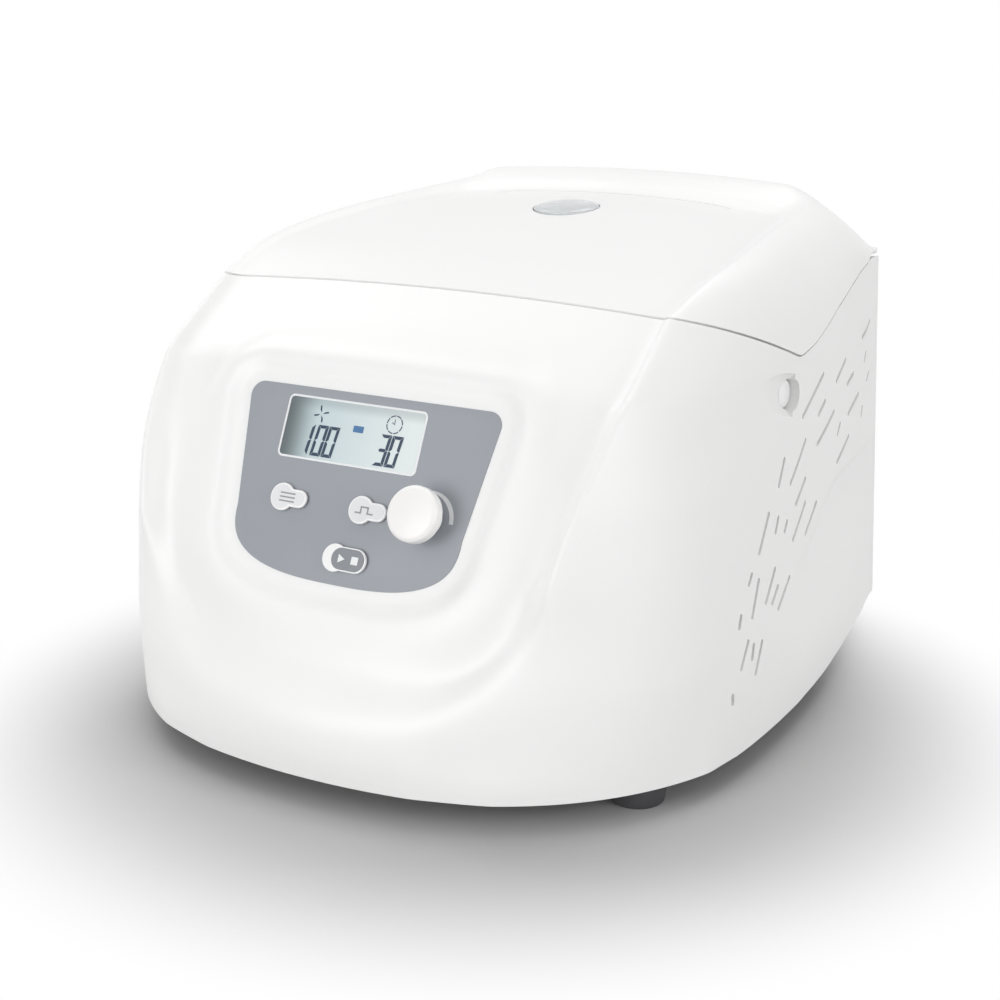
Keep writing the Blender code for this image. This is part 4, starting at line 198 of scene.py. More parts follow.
# Stage: places and sizes in metres, powers in watts
FLOOR_REACH, FLOOR_FRONT, FLOOR_BACK, FLOOR_BEND, FLOOR_TOP = 5.0, -3.0, 1.6, 0.8, 3.0
# Middle and reach of the floor's painted shadow pool: grey paper near the middle, glowing white beyond
SHADOW_POOL_MIDDLE = (0.02, -0.05, 0.0)
SHADOW_POOL_FADE = (0.135, 0.25)
WORLD_STRENGTH = 0.45
LAMPS = (
    ("rear_softbox", (0.1, 0.8, 1.6), 1.0, 8.8),
    ("left_softbox", (-1.2, 0.3, 1.5), 1.0, 7.6),
    ("front_softbox", (-0.5, -1.9, 0.45), 1.0, 16.4),
    ("upper_softbox", (-0.3, -1.5, 1.2), 1.0, 2.9),
    ("right_softbox", (1.7, -0.3, 0.5), 1.0, 12.2),
)

FRONT_Y = DEPTH * CENTRE_SHARES[2][0]
REAR_Y = DEPTH + 0.0062 + 0.0046
SHIFT = Vector((0.0, -(FRONT_Y + REAR_Y) / 2, FOOT_HEIGHT))


class Signal:
    """An output of a material's nodes, for use in plain arithmetic."""

    def __init__(self, look, socket):
        self.look = look
        self.socket = socket

    def maths(self, operation, first, second):
        return self.look.node("Math", {"operation": operation}, {0: first, 1: second})

    def __add__(self, other):
        return self.maths("ADD", self, other)

    def __rsub__(self, other):
        return self.maths("SUBTRACT", other, self)

    def __mul__(self, other):
        return self.maths("MULTIPLY", self, other)

    __radd__ = __add__
    __rmul__ = __mul__


class Look:
    """A procedural material: its nodes are added by name, and its surface is set at the end."""

    def __init__(self, name):
        self.material = bpy.data.materials.new(name)
        self.material.use_nodes = True
        self.tree = self.material.node_tree
        self.shader = self.tree.nodes["Principled BSDF"]

    def feed(self, socket, value):
        if isinstance(value, Signal):
            self.tree.links.new(value.socket, socket)
        else:
            socket.default_value = value

    def node(self, kind, settings, values, output=0):
        """Add a node: its settings first, then the values or links of its sockets."""
        made = self.tree.nodes.new("ShaderNode" + kind)
        for key, value in settings.items():
            setattr(made, key, value)
        for key, value in values.items():
            self.feed(made.inputs[key], value)
        return Signal(self, made.outputs[output])

    def where(self):
        return self.node("TexCoord", {}, {}, "Object")

    def place(self, stretch=(1.0, 1.0, 1.0)):
        return self.node("Mapping", {}, {"Vector": self.where(), "Scale": stretch})

    def noise(self, scale, detail=2.0, stretch=(1.0, 1.0, 1.0)):
        values = {"Vector": self.place(stretch), "Scale": scale, "Detail": detail}
        return self.node("TexNoise", {}, values, "Fac")

    def spread(self, value, low, high, to_low=0.0, to_high=1.0, smooth=True):
        """Map a value from one range to another."""
        settings = {"interpolation_type": "SMOOTHSTEP" if smooth else "LINEAR"}
        return self.node("MapRange", settings, {0: value, 1: low, 2: high, 3: to_low, 4: to_high})

    def mix(self, share, first, second):
        return self.node("Mix", {"data_type": "RGBA"}, {0: share, 6: first, 7: second}, 2)

    def bump(self, height, distance, strength=1.0):
        values = {"Height": height, "Distance": distance, "Strength": strength}
        return self.node("Bump", {}, values)

    def surface(self, **values):
        """Set the shader's sockets; underscores stand for spaces in their names."""
        for key, value in values.items():
            self.feed(self.shader.inputs[key.replace("_", " ")], value)
        return self.material


def colour(red, green, blue):
    return (red, green, blue, 1.0)


def dimmed(tone, share):
    return colour(*(part * share for part in tone[:3]))


def moulded_plastic(name, tone, rough, grain=0.00002):
    """Injection moulded plastic with a fine spark texture and a faint uneven tone."""
    look = Look(name)
    broad = look.noise(9.0, 3.0)
    fine = look.noise(2600.0, 1.0)
    return look.surface(
        Base_Color=look.mix(broad, dimmed(tone, 0.97), tone),
        Roughness=rough - 0.03 + 0.06 * fine,
        Normal=look.bump(fine, grain, 0.35),
    )


def soft_rubber(name):
    look = Look(name)
    broad = look.noise(60.0, 4.0)
    fine = look.noise(1500.0, 2.0)
    return look.surface(
        Base_Color=look.mix(broad, colour(0.035, 0.035, 0.038), colour(0.075, 0.075, 0.080)),
        Roughness=0.72 + 0.12 * fine,
        Normal=look.bump(fine, 0.00006, 0.5),
    )


def brushed_metal(name, tone, rough, stretch):
    """Metal with fine brush lines along the direction that the stretch leaves long."""
    look = Look(name)
    lines = look.noise(900.0, 2.0, stretch)
    broad = look.noise(14.0, 2.0)
    return look.surface(
        Base_Color=look.mix(lines * 0.5 + 0.5 * broad, dimmed(tone, 0.82), tone),
        Metallic=1.0,
        Roughness=rough - 0.06 + 0.12 * lines,
        Normal=look.bump(lines, 0.00002, 0.3),
    )


def display_face(name):
    """A reflective liquid crystal face: shaded at the left and the top, pale elsewhere."""
    look = Look(name)
    across = look.node("SeparateXYZ", {}, {"Vector": look.where()})
    height = Signal(look, across.socket.node.outputs[2])
    left = SCREEN_X - SCREEN_WIDTH / 2
    top = (PANEL_MIDDLE + PANEL_UP * (SCREEN_UP + SCREEN_LENGTH / 2)).z + SHIFT.z
    shade_left = 1.0 - look.spread(across, left, left + 0.017)
    shade_top = look.spread(height, top - 0.004, top)
    grain = look.noise(1800.0, 1.0)
    pale = look.mix(look.spread(across, left, -left), colour(0.50, 0.60, 0.63), colour(0.74, 0.79, 0.785))
    shaded = look.mix(shade_left * 0.92, pale, colour(0.060, 0.078, 0.085))
    return look.surface(
        Base_Color=look.mix(shade_top * 0.30, shaded, colour(0.12, 0.15, 0.17)),
        Roughness=0.16 + 0.05 * grain,
        Coat_Weight=0.4,
    )


def printed(name, tone, rough=0.4):
    """Thin print or film with a faint unevenness of the ink."""
    look = Look(name)
    ink = look.noise(700.0, 2.0)
    return look.surface(Base_Color=look.mix(ink, dimmed(tone, 0.9), tone), Roughness=rough + 0.08 * ink)


def clear_glass(name):
    """Clear moulded glass with a few faint streaks in its polish."""
    look = Look(name)
    streaks = look.noise(120.0, 2.0, (1.0, 6.0, 1.0))
    return look.surface(
        Base_Color=look.mix(streaks, colour(0.80, 0.83, 0.85), colour(0.95, 0.96, 0.97)),
        Roughness=0.02 + 0.05 * streaks,
        Transmission_Weight=0.55,
        IOR=1.48,
        Normal=look.bump(streaks, 0.0003, 0.4),
    )


def circuit_board(name):
    look = Look(name)
    tracks = look.node("TexBrick", {}, {
        "Vector": look.place(), "Scale": 120.0, "Mortar Size": 0.03, "Color1": colour(0.012, 0.15, 0.06),
        "Color2": colour(0.015, 0.19, 0.08), "Mortar": colour(0.03, 0.30, 0.13),
    })
    return look.surface(Base_Color=tracks, Roughness=0.35 + 0.1 * look.noise(300.0))


def make_looks():
    white = colour(0.83, 0.83, 0.825)
    return {
        "white": moulded_plastic("moulded_white", white, 0.42),
        "lid": moulded_plastic("moulded_white_lid", colour(0.84, 0.84, 0.835), 0.42),
        "knob": moulded_plastic("knob_white", colour(0.84, 0.83, 0.82), 0.30),
        "key": moulded_plastic("key_grey_white", colour(0.72, 0.73, 0.74), 0.35),
        "key_rim": moulded_plastic("key_white", colour(0.86, 0.86, 0.86), 0.28),
        "grey": moulded_plastic("panel_film", colour(0.295, 0.315, 0.345), 0.55, 0.00001),
        "dark": moulded_plastic("dark_moulding", colour(0.045, 0.046, 0.05), 0.42),
        "liner": moulded_plastic("liner_moulding", colour(0.60, 0.61, 0.61), 0.45),
        "rubber": soft_rubber("foot_rubber"),
        "steel": brushed_metal("brushed_steel", colour(0.60, 0.60, 0.61), 0.30, (1.0, 1.0, 0.02)),
        "bowl": brushed_metal("bowl_steel", colour(0.66, 0.66, 0.67), 0.26, (0.05, 0.05, 1.0)),
        "alloy": brushed_metal("anodised_alloy", colour(0.42, 0.43, 0.45), 0.38, (1.0, 1.0, 0.05)),
        "glass": clear_glass("sight_glass_clear"),
        "screen": display_face("display_face"),
        "board": circuit_board("board_green"),
        "print_white": printed("print_white", colour(0.80, 0.81, 0.82)),
        "print_grey": printed("print_grey", colour(0.22, 0.235, 0.255)),
        "print_dark": printed("print_dark_grey", colour(0.30, 0.31, 0.33)),
        "digit": printed("digit_navy", colour(0.012, 0.035, 0.075), 0.3),
        "mark": printed("mark_blue", colour(0.05, 0.16, 0.34), 0.3),
    }


def between(first, second, share):
    return first + (second - first) * share


def smooth_step(value, low, high):
    share = min(max((value - low) / (high - low), 0.0), 1.0)
    return share * share * (3 - 2 * share)


def catmull(table, place):
    """A smooth value at a place between the rows of a table of points."""
    last = len(table) - 1
    index = min(int(place), last - 1)
    share = place - index
    before, start = table[max(index - 1, 0)], table[index]
    end, after = table[index + 1], table[min(index + 2, last)]
    square, cube = share ** 2, share ** 3
    values = []
    for p0, p1, p2, p3 in zip(before, start, end, after):
        value = (2 * cube - 3 * square + 1) * p1 + (cube - 2 * square + share) * (p2 - p0) / 2
        values.append(value + (3 * square - 2 * cube) * p2 + (cube - square) * (p3 - p1) / 2)
    return values


def smooth_value(values, place):
    return catmull([(value,) for value in values], place)[0]


def scaled(point):
    return Vector((point[0] * HALF_WIDTH, point[1] * DEPTH, point[2] * HEIGHT))


def guide_points(tables, place):
    """The four guide points of a row, from the middle outwards."""
    centre, *others = (catmull(table, place) for table in tables)
    return [scaled((0.0, *centre))] + [scaled(point) for point in others]


def side_x(y, z):
    """Half width of the side wall at a depth and a height."""
    first, last = SIDE_PLAN_SHARES[0], SIDE_PLAN_SHARES[-1]
    share = min(max(y / DEPTH, first[0]), last[0])
    place = 0.0
    for index, (start, end) in enumerate(zip(SIDE_PLAN_SHARES, SIDE_PLAN_SHARES[1:])):
        if share >= start[0]:
            place = index + (share - start[0]) / (end[0] - start[0])
    return catmull(SIDE_PLAN_SHARES, place)[1] * HALF_WIDTH - SIDE_DRAFT_SHARE * z


def edge_point(table, place):
    y_share, z_share = catmull(table, place)
    return Vector((side_x(y_share * DEPTH, z_share * HEIGHT), y_share * DEPTH, z_share * HEIGHT))


def quadratic(start, control, end, share):
    return between(between(start, control, share), between(control, end, share), share)


def turn(start, corner, end, steps):
    """Points of a soft corner after its start."""
    return [quadratic(start, corner, end, step / steps) for step in range(1, steps + 1)]


def half_row(centre, floor, crease, cheek, edge):
    """Points from the middle of a row to the edge of the side, with soft corners at the guide points."""
    points = []
    for step in range(TONGUE_STEPS + 1):
        share = 0.94 * step / TONGUE_STEPS
        drop = (floor - centre) * share * share
        points.append(Vector((floor.x * share, centre.y + drop.y, centre.z + drop.z)))
    foot = between(floor, crease, 0.42)
    points += turn(points[-1], floor, foot, SLOPE_STEPS)
    over = quadratic(crease, cheek, edge, 0.045)
    points += turn(foot, crease, over, CREASE_STEPS)
    for step in range(1, CHEEK_STEPS + 1):
        points.append(quadratic(crease, cheek, edge, between(0.045, 0.965, step / CHEEK_STEPS)))
    return points


def seam_z(y):
    """Height of the housing's top edge at a depth along the side."""
    table = LID_SEAM_SHARES[:9] + ((1.0, REAR_CORNER_SHARE),)
    share = max(y / DEPTH, table[0][0])
    for low, high in zip(table, table[1:]):
        if share <= high[0]:
            return between(low[1], high[1], (share - low[0]) / (high[0] - low[0])) * HEIGHT


def fold_inset(y, z):
    """How far the side steps in below its slanting fold, fading downwards and at both ends."""
    share = y / DEPTH
    behind = min(max((share - FOLD_START_SHARE) / (1 - FOLD_START_SHARE), 0.0), 1.0)
    fold = smooth_value(FOLD_SHARES, 3 * behind)
    if share < FOLD_START_SHARE:
        fold = FOLD_SHARES[0] - (FOLD_START_SHARE - share) * 1.4
    below = fold * HEIGHT - z
    depth = FOLD_DEPTH * smooth_step(share, 0.43, 0.58) * (1 - smooth_step(share, 0.92, 0.99))
    return depth * smooth_step(below, 0.0, FOLD_WIDTH) * (1 - smooth_step(below, *FOLD_FADE))


def side_point(place, share):
    last = len(EDGE_SHARES) - 2
    lower = min(place, last)
    front_z = edge_point(EDGE_SHARES, lower).z
    rear_z = smooth_value(REAR_EDGE_SHARES, lower) * HEIGHT
    bow = smooth_value(SIDE_BOW_SHARES, lower) * HEIGHT
    y = between(edge_point(EDGE_SHARES, place).y, DEPTH, share)
    z = between(front_z, rear_z, share) + bow * math.sin(math.pi * share)
    z = between(z, seam_z(y), max(place - last, 0.0))
    return Vector((side_x(y, z) - fold_inset(y, z), y, z))


def housing_half_row(place):
    edge = edge_point(EDGE_SHARES, place)
    points = half_row(*guide_points(HOUSING_GUIDES, place), edge)
    points += turn(points[-1], edge, side_point(place, 0.018), STRIP_STEPS)
    for step in range(1, SIDE_STEPS + 1):
        points.append(side_point(place, between(0.018, 1.0, step / SIDE_STEPS)))
    return points


def lid_half_row(place):
    """A row of the lid; its first rows end on a rounded corner of the seam."""
    edge = edge_point(LID_SEAM_SHARES, place)
    points = half_row(*guide_points(LID_GUIDES, place), edge)
    start = points[-1]
    corner = edge_point(LID_SEAM_SHARES, 0.0)
    behind = edge_point(LID_SEAM_SHARES, LID_CORNER_PLACE)
    if place < LID_CORNER_PLACE:
        edge = quadratic(CORNER_START, corner, behind, between(0.5, 1.0, place / LID_CORNER_PLACE))
    if place == 0:
        return points + [quadratic(start, corner, behind, share / 6) for share in (1, 2, 3)]
    return points + [between(start, edge, share / 3) for share in (1, 2, 3)]


CORNER_START = half_row(*guide_points(LID_GUIDES, 0.0), edge_point(LID_SEAM_SHARES, 0.0))[-1]


def row_places(plan):
    """Places of the rows: each entry gives a guide row and the count of rows up to the next entry."""
    places = []
    for (start, count), (end, _) in zip(plan, plan[1:]):
        places += [between(start, end, step / count) for step in range(count)]
    return places + [plan[-1][0]]


def skin_surface(half_rows):
    """An open surface, bent from a flat grid so that each vertex lies on its row."""
    across = len(half_rows[0]) - 1
    up = len(half_rows) - 1
    skin = bmesh.new()
    bmesh.ops.create_grid(skin, x_segments=2 * across, y_segments=up, size=0.5)
    for vert in skin.verts:
        column = round((vert.co.x + 0.5) * 2 * across) - across
        point = half_rows[round((vert.co.y + 0.5) * up)][abs(column)]
        vert.co = Vector((math.copysign(point.x, column), point.y, point.z))
    return skin


def panel_outline():
    """The control panel's rounded trapezoid as (x, up) points, from the middle of the top clockwise."""
    top = PANEL_LENGTH / 2
    shoulder = -PANEL_LENGTH * PANEL_SHOULDER_SHARE
    corner = (PANEL_TOP_HALF_WIDTH - PANEL_TOP_RADIUS, top - PANEL_TOP_RADIUS)
    right = arc(corner, PANEL_TOP_RADIUS, 90, 0, PANEL_CORNER_STEPS)
    for step in range(PANEL_SWEEP_STEPS):
        angle = math.pi / 2 * step / PANEL_SWEEP_STEPS
        x = PANEL_SIDE_HALF_WIDTH * math.cos(angle) ** PANEL_SWEEP_SHARE
        right.append((x, shoulder - (top + shoulder) * math.sin(angle) ** PANEL_SWEEP_SHARE))
    return right + [(0.0, -top)] + [(-x, up) for x, up in reversed(right)]


def outline_distance(points):
    """Distance of (x, up) points from the panel's outline, below zero inside it."""
    corners = np.array(panel_outline())
    ends = np.roll(corners, -1, axis=0)
    nearest = np.full(len(points), 1.0)
    inside = np.zeros(len(points), bool)
    for (ax, ay), (bx, by) in zip(corners, ends):
        edge = np.array((bx - ax, by - ay))
        offset = points - (ax, ay)
        share = np.clip(offset @ edge / max(edge @ edge, 1e-12), 0, 1)
        nearest = np.minimum(nearest, np.linalg.norm(offset - share[:, None] * edge, axis=1))
        crosses = (ay > points[:, 1]) != (by > points[:, 1])
        if by != ay:
            inside ^= crosses & (points[:, 0] < ax + (points[:, 1] - ay) * (bx - ax) / (by - ay))
    return np.where(inside, -nearest, nearest)


def surround_level(distance, level, reach):
    """Height over the panel's plane of the dished surround, blended into the skin outside it."""
    if distance < 0.0115:
        return between(SURROUND_FLAT, SURROUND_LIP, smooth_step(distance, 0.0048, 0.0112))
    return between(SURROUND_LIP, level, smooth_step(distance, 0.0120, reach))


def soften(skin, passes, weight):
    """Relax a skin in passes; the weight of a place says from which share of them on it takes part."""
    shares = {vert: weight(vert.co) for vert in skin.verts if not vert.is_boundary}
    for step in range(passes):
        limit = step / passes
        verts = [vert for vert, share in shares.items() if share > limit]
        if verts:
            bmesh.ops.smooth_vert(
                skin, verts=verts, factor=0.5, use_axis_x=True, use_axis_y=True, use_axis_z=True
            )


def ledge_weight(point):
    """Softness of the tongue's U-shaped ledge: most low in the middle, less upwards and outwards."""
    high = 1 - smooth_step(point.z, 0.055, 0.090)
    low = smooth_step(point.z, 0.004, 0.016)
    side = 1 - smooth_step(abs(point.x), 0.085, 0.120)
    return high * low * side


def press_surround(skin):
    """Dish the tongue round the control panel."""
    near = []
    places = []
    for vert in skin.verts:
        offset = vert.co - PANEL_MIDDLE
        place = (offset.x, offset.dot(PANEL_UP))
        if abs(place[0]) < 0.11 and abs(place[1]) < 0.09 and abs(offset.dot(PANEL_NORMAL)) < 0.03:
            near.append((vert, offset.dot(PANEL_NORMAL)))
            places.append(place)
    for (vert, level), place, distance in zip(near, places, outline_distance(np.array(places))):
        reach = between(SURROUND_REACH, SURROUND_TOP_REACH, smooth_step(place[1], 0.0, 0.036))
        if distance < reach:
            vert.co += PANEL_NORMAL * (surround_level(float(distance), level, reach) - level)


def new_object(name, mesh_data, look):
    mesh = bpy.data.meshes.new(name)
    mesh_data.to_mesh(mesh)
    mesh_data.free()
    if look:
        mesh.materials.append(look)
    item = bpy.data.objects.new(name, mesh)
    bpy.context.scene.collection.objects.link(item)
    return item


def applied(item):
    """A bmesh of an object with its modifiers applied; the object is removed."""
    graph = bpy.context.evaluated_depsgraph_get()
    evaluated = item.evaluated_get(graph)
    result = bmesh.new()
    result.from_mesh(evaluated.to_mesh())
    evaluated.to_mesh_clear()
    bpy.data.meshes.remove(item.data)
    return result


def walled(skin, wall):
    """Give an open skin a wall on its inner side."""
    item = new_object("walled", skin, None)
    modifier = item.modifiers.new("wall", "SOLIDIFY")
    modifier.thickness = wall
    modifier.offset = -1.0
    modifier.use_even_offset = False
    return applied(item)


def joined(*parts):
    merged = bmesh.new()
    for part in parts:
        mesh = bpy.data.meshes.new("joined")
        part.to_mesh(mesh)
        part.free()
        merged.from_mesh(mesh)
        bpy.data.meshes.remove(mesh)
    return merged


def combined(body, tool_mesh, operation):
    """The union, difference or intersection of two closed meshes."""
    item = new_object("body", body, None)
    tool = new_object("tool", tool_mesh, None)
    modifier = item.modifiers.new("combine", "BOOLEAN")
    modifier.operation = operation
    modifier.solver = "EXACT"
    modifier.object = tool
    result = applied(item)
    bpy.data.meshes.remove(tool.data)
    return result


def cut(body, *tools):
    return combined(body, joined(*tools), "DIFFERENCE")


def make_piece(name, mesh_data, look, body, slot, *nodes, sharp=40.0):
    """Make a finished piece of a bmesh in body coordinates, ride it on a body and hide the imported solids
    that it stands for.
    """
    bmesh.ops.translate(mesh_data, verts=mesh_data.verts, vec=SHIFT)
    item = new_object(name, mesh_data, look)
    item.data.shade_smooth()
    item.data.set_sharp_from_angle(angle=math.radians(sharp))
    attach(item, body)
    if nodes:
        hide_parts(*nodes)
    return item


def frame_of(origin, normal, up):
    """A matrix whose X, Y and Z are right, up and out of a face."""
    up = (up - normal * up.dot(normal)).normalized()
    right = up.cross(normal)
    turned = Matrix((right, up, normal)).transposed().to_4x4()
    turned.translation = origin
    return turned


PANEL_FRAME = frame_of(PANEL_MIDDLE, PANEL_NORMAL, PANEL_UP)


def raise_faces(part, faces, rise):
    """Extrude the faces of a flat part upwards."""
    grown = bmesh.ops.extrude_face_region(part, geom=faces)["geom"]
    top = [item for item in grown if isinstance(item, bmesh.types.BMVert)]
    bmesh.ops.translate(part, verts=top, vec=(0.0, 0.0, rise))
    bmesh.ops.recalc_face_normals(part, faces=part.faces)


def round_edges(part, edges, size, segments):
    bmesh.ops.bevel(
        part, geom=edges, offset=size, segments=segments, profile=0.5, affect="EDGES", material=-1
    )


def plate(points, low, high, matrix, edge=0.0, segments=3):
    """A flat shape of (x, y) points between two heights, with a rounded upper edge, set by a matrix."""
    part = bmesh.new()
    face = part.faces.new([part.verts.new((x, y, low)) for x, y in points])
    face.normal_update()
    if face.normal.z > 0:
        face.normal_flip()
    raise_faces(part, [face], high - low)
    if edge:
        rim = [line for line in part.edges if all(vert.co.z > (low + high) / 2 for vert in line.verts)]
        round_edges(part, rim, edge, segments)
    bmesh.ops.transform(part, matrix=matrix, verts=part.verts)
    return part


def spun(profile, matrix, steps=64):
    """Turn a profile of (radius, height) points about the Z of a matrix and close it."""
    part = bmesh.new()
    verts = [part.verts.new((radius, 0.0, height)) for radius, height in profile]
    edges = [part.edges.new(pair) for pair in zip(verts, verts[1:])]
    bmesh.ops.spin(
        part, geom=verts + edges, cent=(0, 0, 0), axis=(0, 0, 1), angle=math.tau, steps=steps, use_merge=True
    )
    bmesh.ops.remove_doubles(part, verts=part.verts, dist=1e-6)
    bmesh.ops.recalc_face_normals(part, faces=part.faces)
    bmesh.ops.transform(part, matrix=matrix, verts=part.verts)
    return part


def rod(radius, low, high):
    """Profile of a plain round bar, for spun."""
    return [(0.0, low), (radius, low), (radius, high), (0.0, high)]


def arc(middle, radius, start, end, steps):
    """Points of an arc between two angles in degrees."""
    points = []
    for step in range(steps + 1):
        angle = math.radians(between(start, end, step / steps))
        points.append((middle[0] + radius * math.cos(angle), middle[1] + radius * math.sin(angle)))
    return points


def rounded(width, height, radius, middle=(0.0, 0.0), steps=6):
    """A rectangle with round corners as (x, y) points."""
    points = []
    for index, (sx, sy) in enumerate(((1, 1), (-1, 1), (-1, -1), (1, -1))):
        corner = (middle[0] + sx * (width / 2 - radius), middle[1] + sy * (height / 2 - radius))
        points += arc(corner, radius, 90 * index, 90 * index + 90, steps)
    return points


def ring_plate(outer, inner, low, high, matrix, edge=0.0):
    """A flat ring between two outlines with the same count of points."""
    part = bmesh.new()
    loops = []
    for points in (outer, inner):
        verts = [part.verts.new((x, y, low)) for x, y in points]
        loops += [part.edges.new((verts[i - 1], verts[i])) for i in range(len(verts))]
    faces = bmesh.ops.bridge_loops(part, edges=loops)["faces"]
    raise_faces(part, faces, high - low)
    if edge:
        rim = [line for line in part.edges if all(vert.co.z > (low + high) / 2 for vert in line.verts)
               and line.calc_face_angle(0.0) > math.radians(60)]
        round_edges(part, rim, edge, 2)
    bmesh.ops.transform(part, matrix=matrix, verts=part.verts)
    return part


def wall_point(side, share):
    """The point of a side wall at shares of the depth and the height."""
    y, z = share[0] * DEPTH, share[1] * HEIGHT
    return Vector((side * (side_x(y, z) - fold_inset(y, z)), y, z))


def slit_cutter(side, upper, lower):
    """A thin bar with round ends that sinks one air slit into a side wall, along its slope."""
    top, bottom = wall_point(side, upper), wall_point(side, lower)
    along = (top - bottom).normalized()
    outward = RIGHT * side - along * along.x * side
    matrix = frame_of((top + bottom) / 2, outward.normalized(), along)
    length = (top - bottom).length + SLIT_WIDTH / 2
    return plate(rounded(SLIT_WIDTH, length, SLIT_WIDTH * 0.49, steps=3), -SLIT_DEPTH, 0.008, matrix)


def scoop_ball(grow, behind):
    """The long half ball that hollows the cheek in front of the release button, grown all round."""
    ball = bmesh.new()
    bmesh.ops.create_uvsphere(ball, u_segments=96, v_segments=64, radius=1.0)
    size = SCOOP_HALF + Vector((grow, grow, grow))
    bmesh.ops.scale(ball, vec=size, verts=ball.verts)
    parts = ball.verts[:] + ball.edges[:] + ball.faces[:]
    cut_line = bmesh.ops.bisect_plane(
        ball, geom=parts, plane_co=(0.0, behind, 0.0), plane_no=(0.0, 1.0, 0.0), clear_outer=True
    )["geom_cut"]
    edges = [item for item in cut_line if isinstance(item, bmesh.types.BMEdge)]
    bmesh.ops.contextual_create(ball, geom=edges)
    bmesh.ops.recalc_face_normals(ball, faces=ball.faces)
    tilt = Matrix.Rotation(SCOOP_TILT, 4, "X")
    bmesh.ops.transform(ball, matrix=Matrix.Translation(SCOOP_PLACE) @ tilt, verts=ball.verts)
    return ball


def scoop_boss(skin):
    """Plastic behind the cheek that closes the scoop, a little inside the outer face."""
    local = skin.copy()
    far = [vert for vert in local.verts if (vert.co - SCOOP_PLACE).length > SCOOP_REACH]
    bmesh.ops.delete(local, geom=far, context="VERTS")
    slab = walled(local, SCOOP_SLAB)
    bmesh.ops.translate(slab, verts=slab.verts, vec=(-SCOOP_INSET, 0.0, 0.0))
    return combined(slab, scoop_ball(SCOOP_WALL, SCOOP_BACK), "INTERSECT")


def button_bore():
    reach = BUTTON_BORE_LENGTH / 2
    return spun(rod(BUTTON_RADIUS + BUTTON_GAP, -reach, reach), frame_of(BUTTON, RIGHT, UP), 45)


def make_case_skin(looks):
    skin = skin_surface([housing_half_row(place) for place in row_places(HOUSING_ROWS)])
    soften(skin, LEDGE_PASSES, ledge_weight)
    press_surround(skin)
    soften(skin, 2, lambda point: 1.0)
    boss = scoop_boss(skin)
    body = walled(skin, CASE_WALL)
    body = combined(body, boss, "UNION")
    body = cut(body, scoop_ball(0.0, 0.0))
    body = cut(body, button_bore())
    slits = [slit_cutter(side, *pair) for side in (-1, 1) for pair in SLIT_SHARES]
    body = cut(body, *slits)
    make_piece("case_skin", body, looks["white"], "case", "white", "main_housing", sharp=38.0)


def glass_frame():
    """The frame of the sight glass: its middle on the lid's outer face, and Z along its axis."""
    points = [scaled((0.0, *catmull(LID_CENTRE_SHARES, place / 4))) for place in range(45)]
    for low, high in zip(points, points[1:]):
        if low.y <= GLASS_Y <= high.y:
            middle = between(low, high, (GLASS_Y - low.y) / (high.y - low.y))
            return frame_of(middle + GLASS_LIFT, RIGHT.cross(high - low).normalized(), Vector((0, 1, 0)))


def tube(points, radius, sides=8):
    """A closed round bar along points."""
    bar = bmesh.new()
    rings = []
    for index, point in enumerate(points):
        along = (points[min(index + 1, len(points) - 1)] - points[max(index - 1, 0)]).normalized()
        matrix = frame_of(point, along, UP)
        end = index in (0, len(points) - 1)
        ring = bmesh.ops.create_circle(bar, segments=sides, radius=radius, cap_ends=end)
        bmesh.ops.transform(bar, matrix=matrix, verts=ring["verts"])
        rings.append({edge for vert in ring["verts"] for edge in vert.link_edges})
    for low, high in zip(rings, rings[1:]):
        bmesh.ops.bridge_loops(bar, edges=list(low | high))
    bmesh.ops.recalc_face_normals(bar, faces=bar.faces)
    return bar


def lid_groove():
    """A bar that cuts the thin groove behind the sight glass, with ends that turn back a little."""
    points = []
    for step in range(-20, 21):
        share = abs(step) / 20
        place = GROOVE_PLACE - 0.12 * smooth_step(share, 0.82, 1.0)
        centre = Vector(catmull(LID_CENTRE_SHARES, place))
        floor = Vector(catmull(LID_FLOOR_SHARES, place)[1:])
        across = share * GROOVE_HALF / (catmull(LID_FLOOR_SHARES, place)[0] * HALF_WIDTH)
        drop = (floor - centre) * across * across
        point = scaled((math.copysign(share * GROOVE_HALF / HALF_WIDTH, step), *(centre + drop)))
        points.append(point + Vector((0.0, SEAM_GAP, SEAM_GAP)))
    return tube(points, GROOVE_RADIUS)


def make_lid_skin(looks):
    skin = skin_surface([lid_half_row(place) for place in row_places(LID_ROWS)])
    soften(skin, 3, lambda point: 1.0)
    body = walled(skin, LID_WALL)
    bmesh.ops.translate(body, verts=body.verts, vec=(0.0, SEAM_GAP, SEAM_GAP))
    body = cut(body, spun(rod(GLASS_RADIUS + GLASS_GAP, -0.02, 0.02), glass_frame(), 72))
    body = cut(body, lid_groove())
    make_piece("lid_skin", body, looks["lid"], "lid", "white", "lid_shell", sharp=38.0)


def make_sight_glass(looks):
    radius = GLASS_RADIUS - 0.0002
    profile = [(0.0, -0.0029), (radius - 0.0006, -0.0029), (radius, -0.0023), (radius, -0.0010)]
    for step in range(9):
        angle = math.pi / 2 * step / 8
        profile.append((radius * math.cos(angle) if step < 8 else 0.0, -0.0008 + 0.0022 * math.sin(angle)))
    dome = spun(profile, glass_frame())
    make_piece("sight_glass_dome", dome, looks["glass"], "lid", "sight_glass", "sight_glass")


def make_overlay(looks):
    """The grey film of the control panel."""
    part = plate(panel_outline(), OVERLAY_LOW, OVERLAY_TOP, PANEL_FRAME, 0.0002, 2)
    make_piece("panel_film", part, looks["grey"], "case", "panel_grey", "panel_overlay")


def on_panel_frame(x, up, out=0.0):
    return PANEL_FRAME @ Matrix.Translation((x, up, out))


def film(points, level, matrix):
    """A thin print of an outline, lying on a level."""
    return plate(points, level, level + PRINT, matrix)


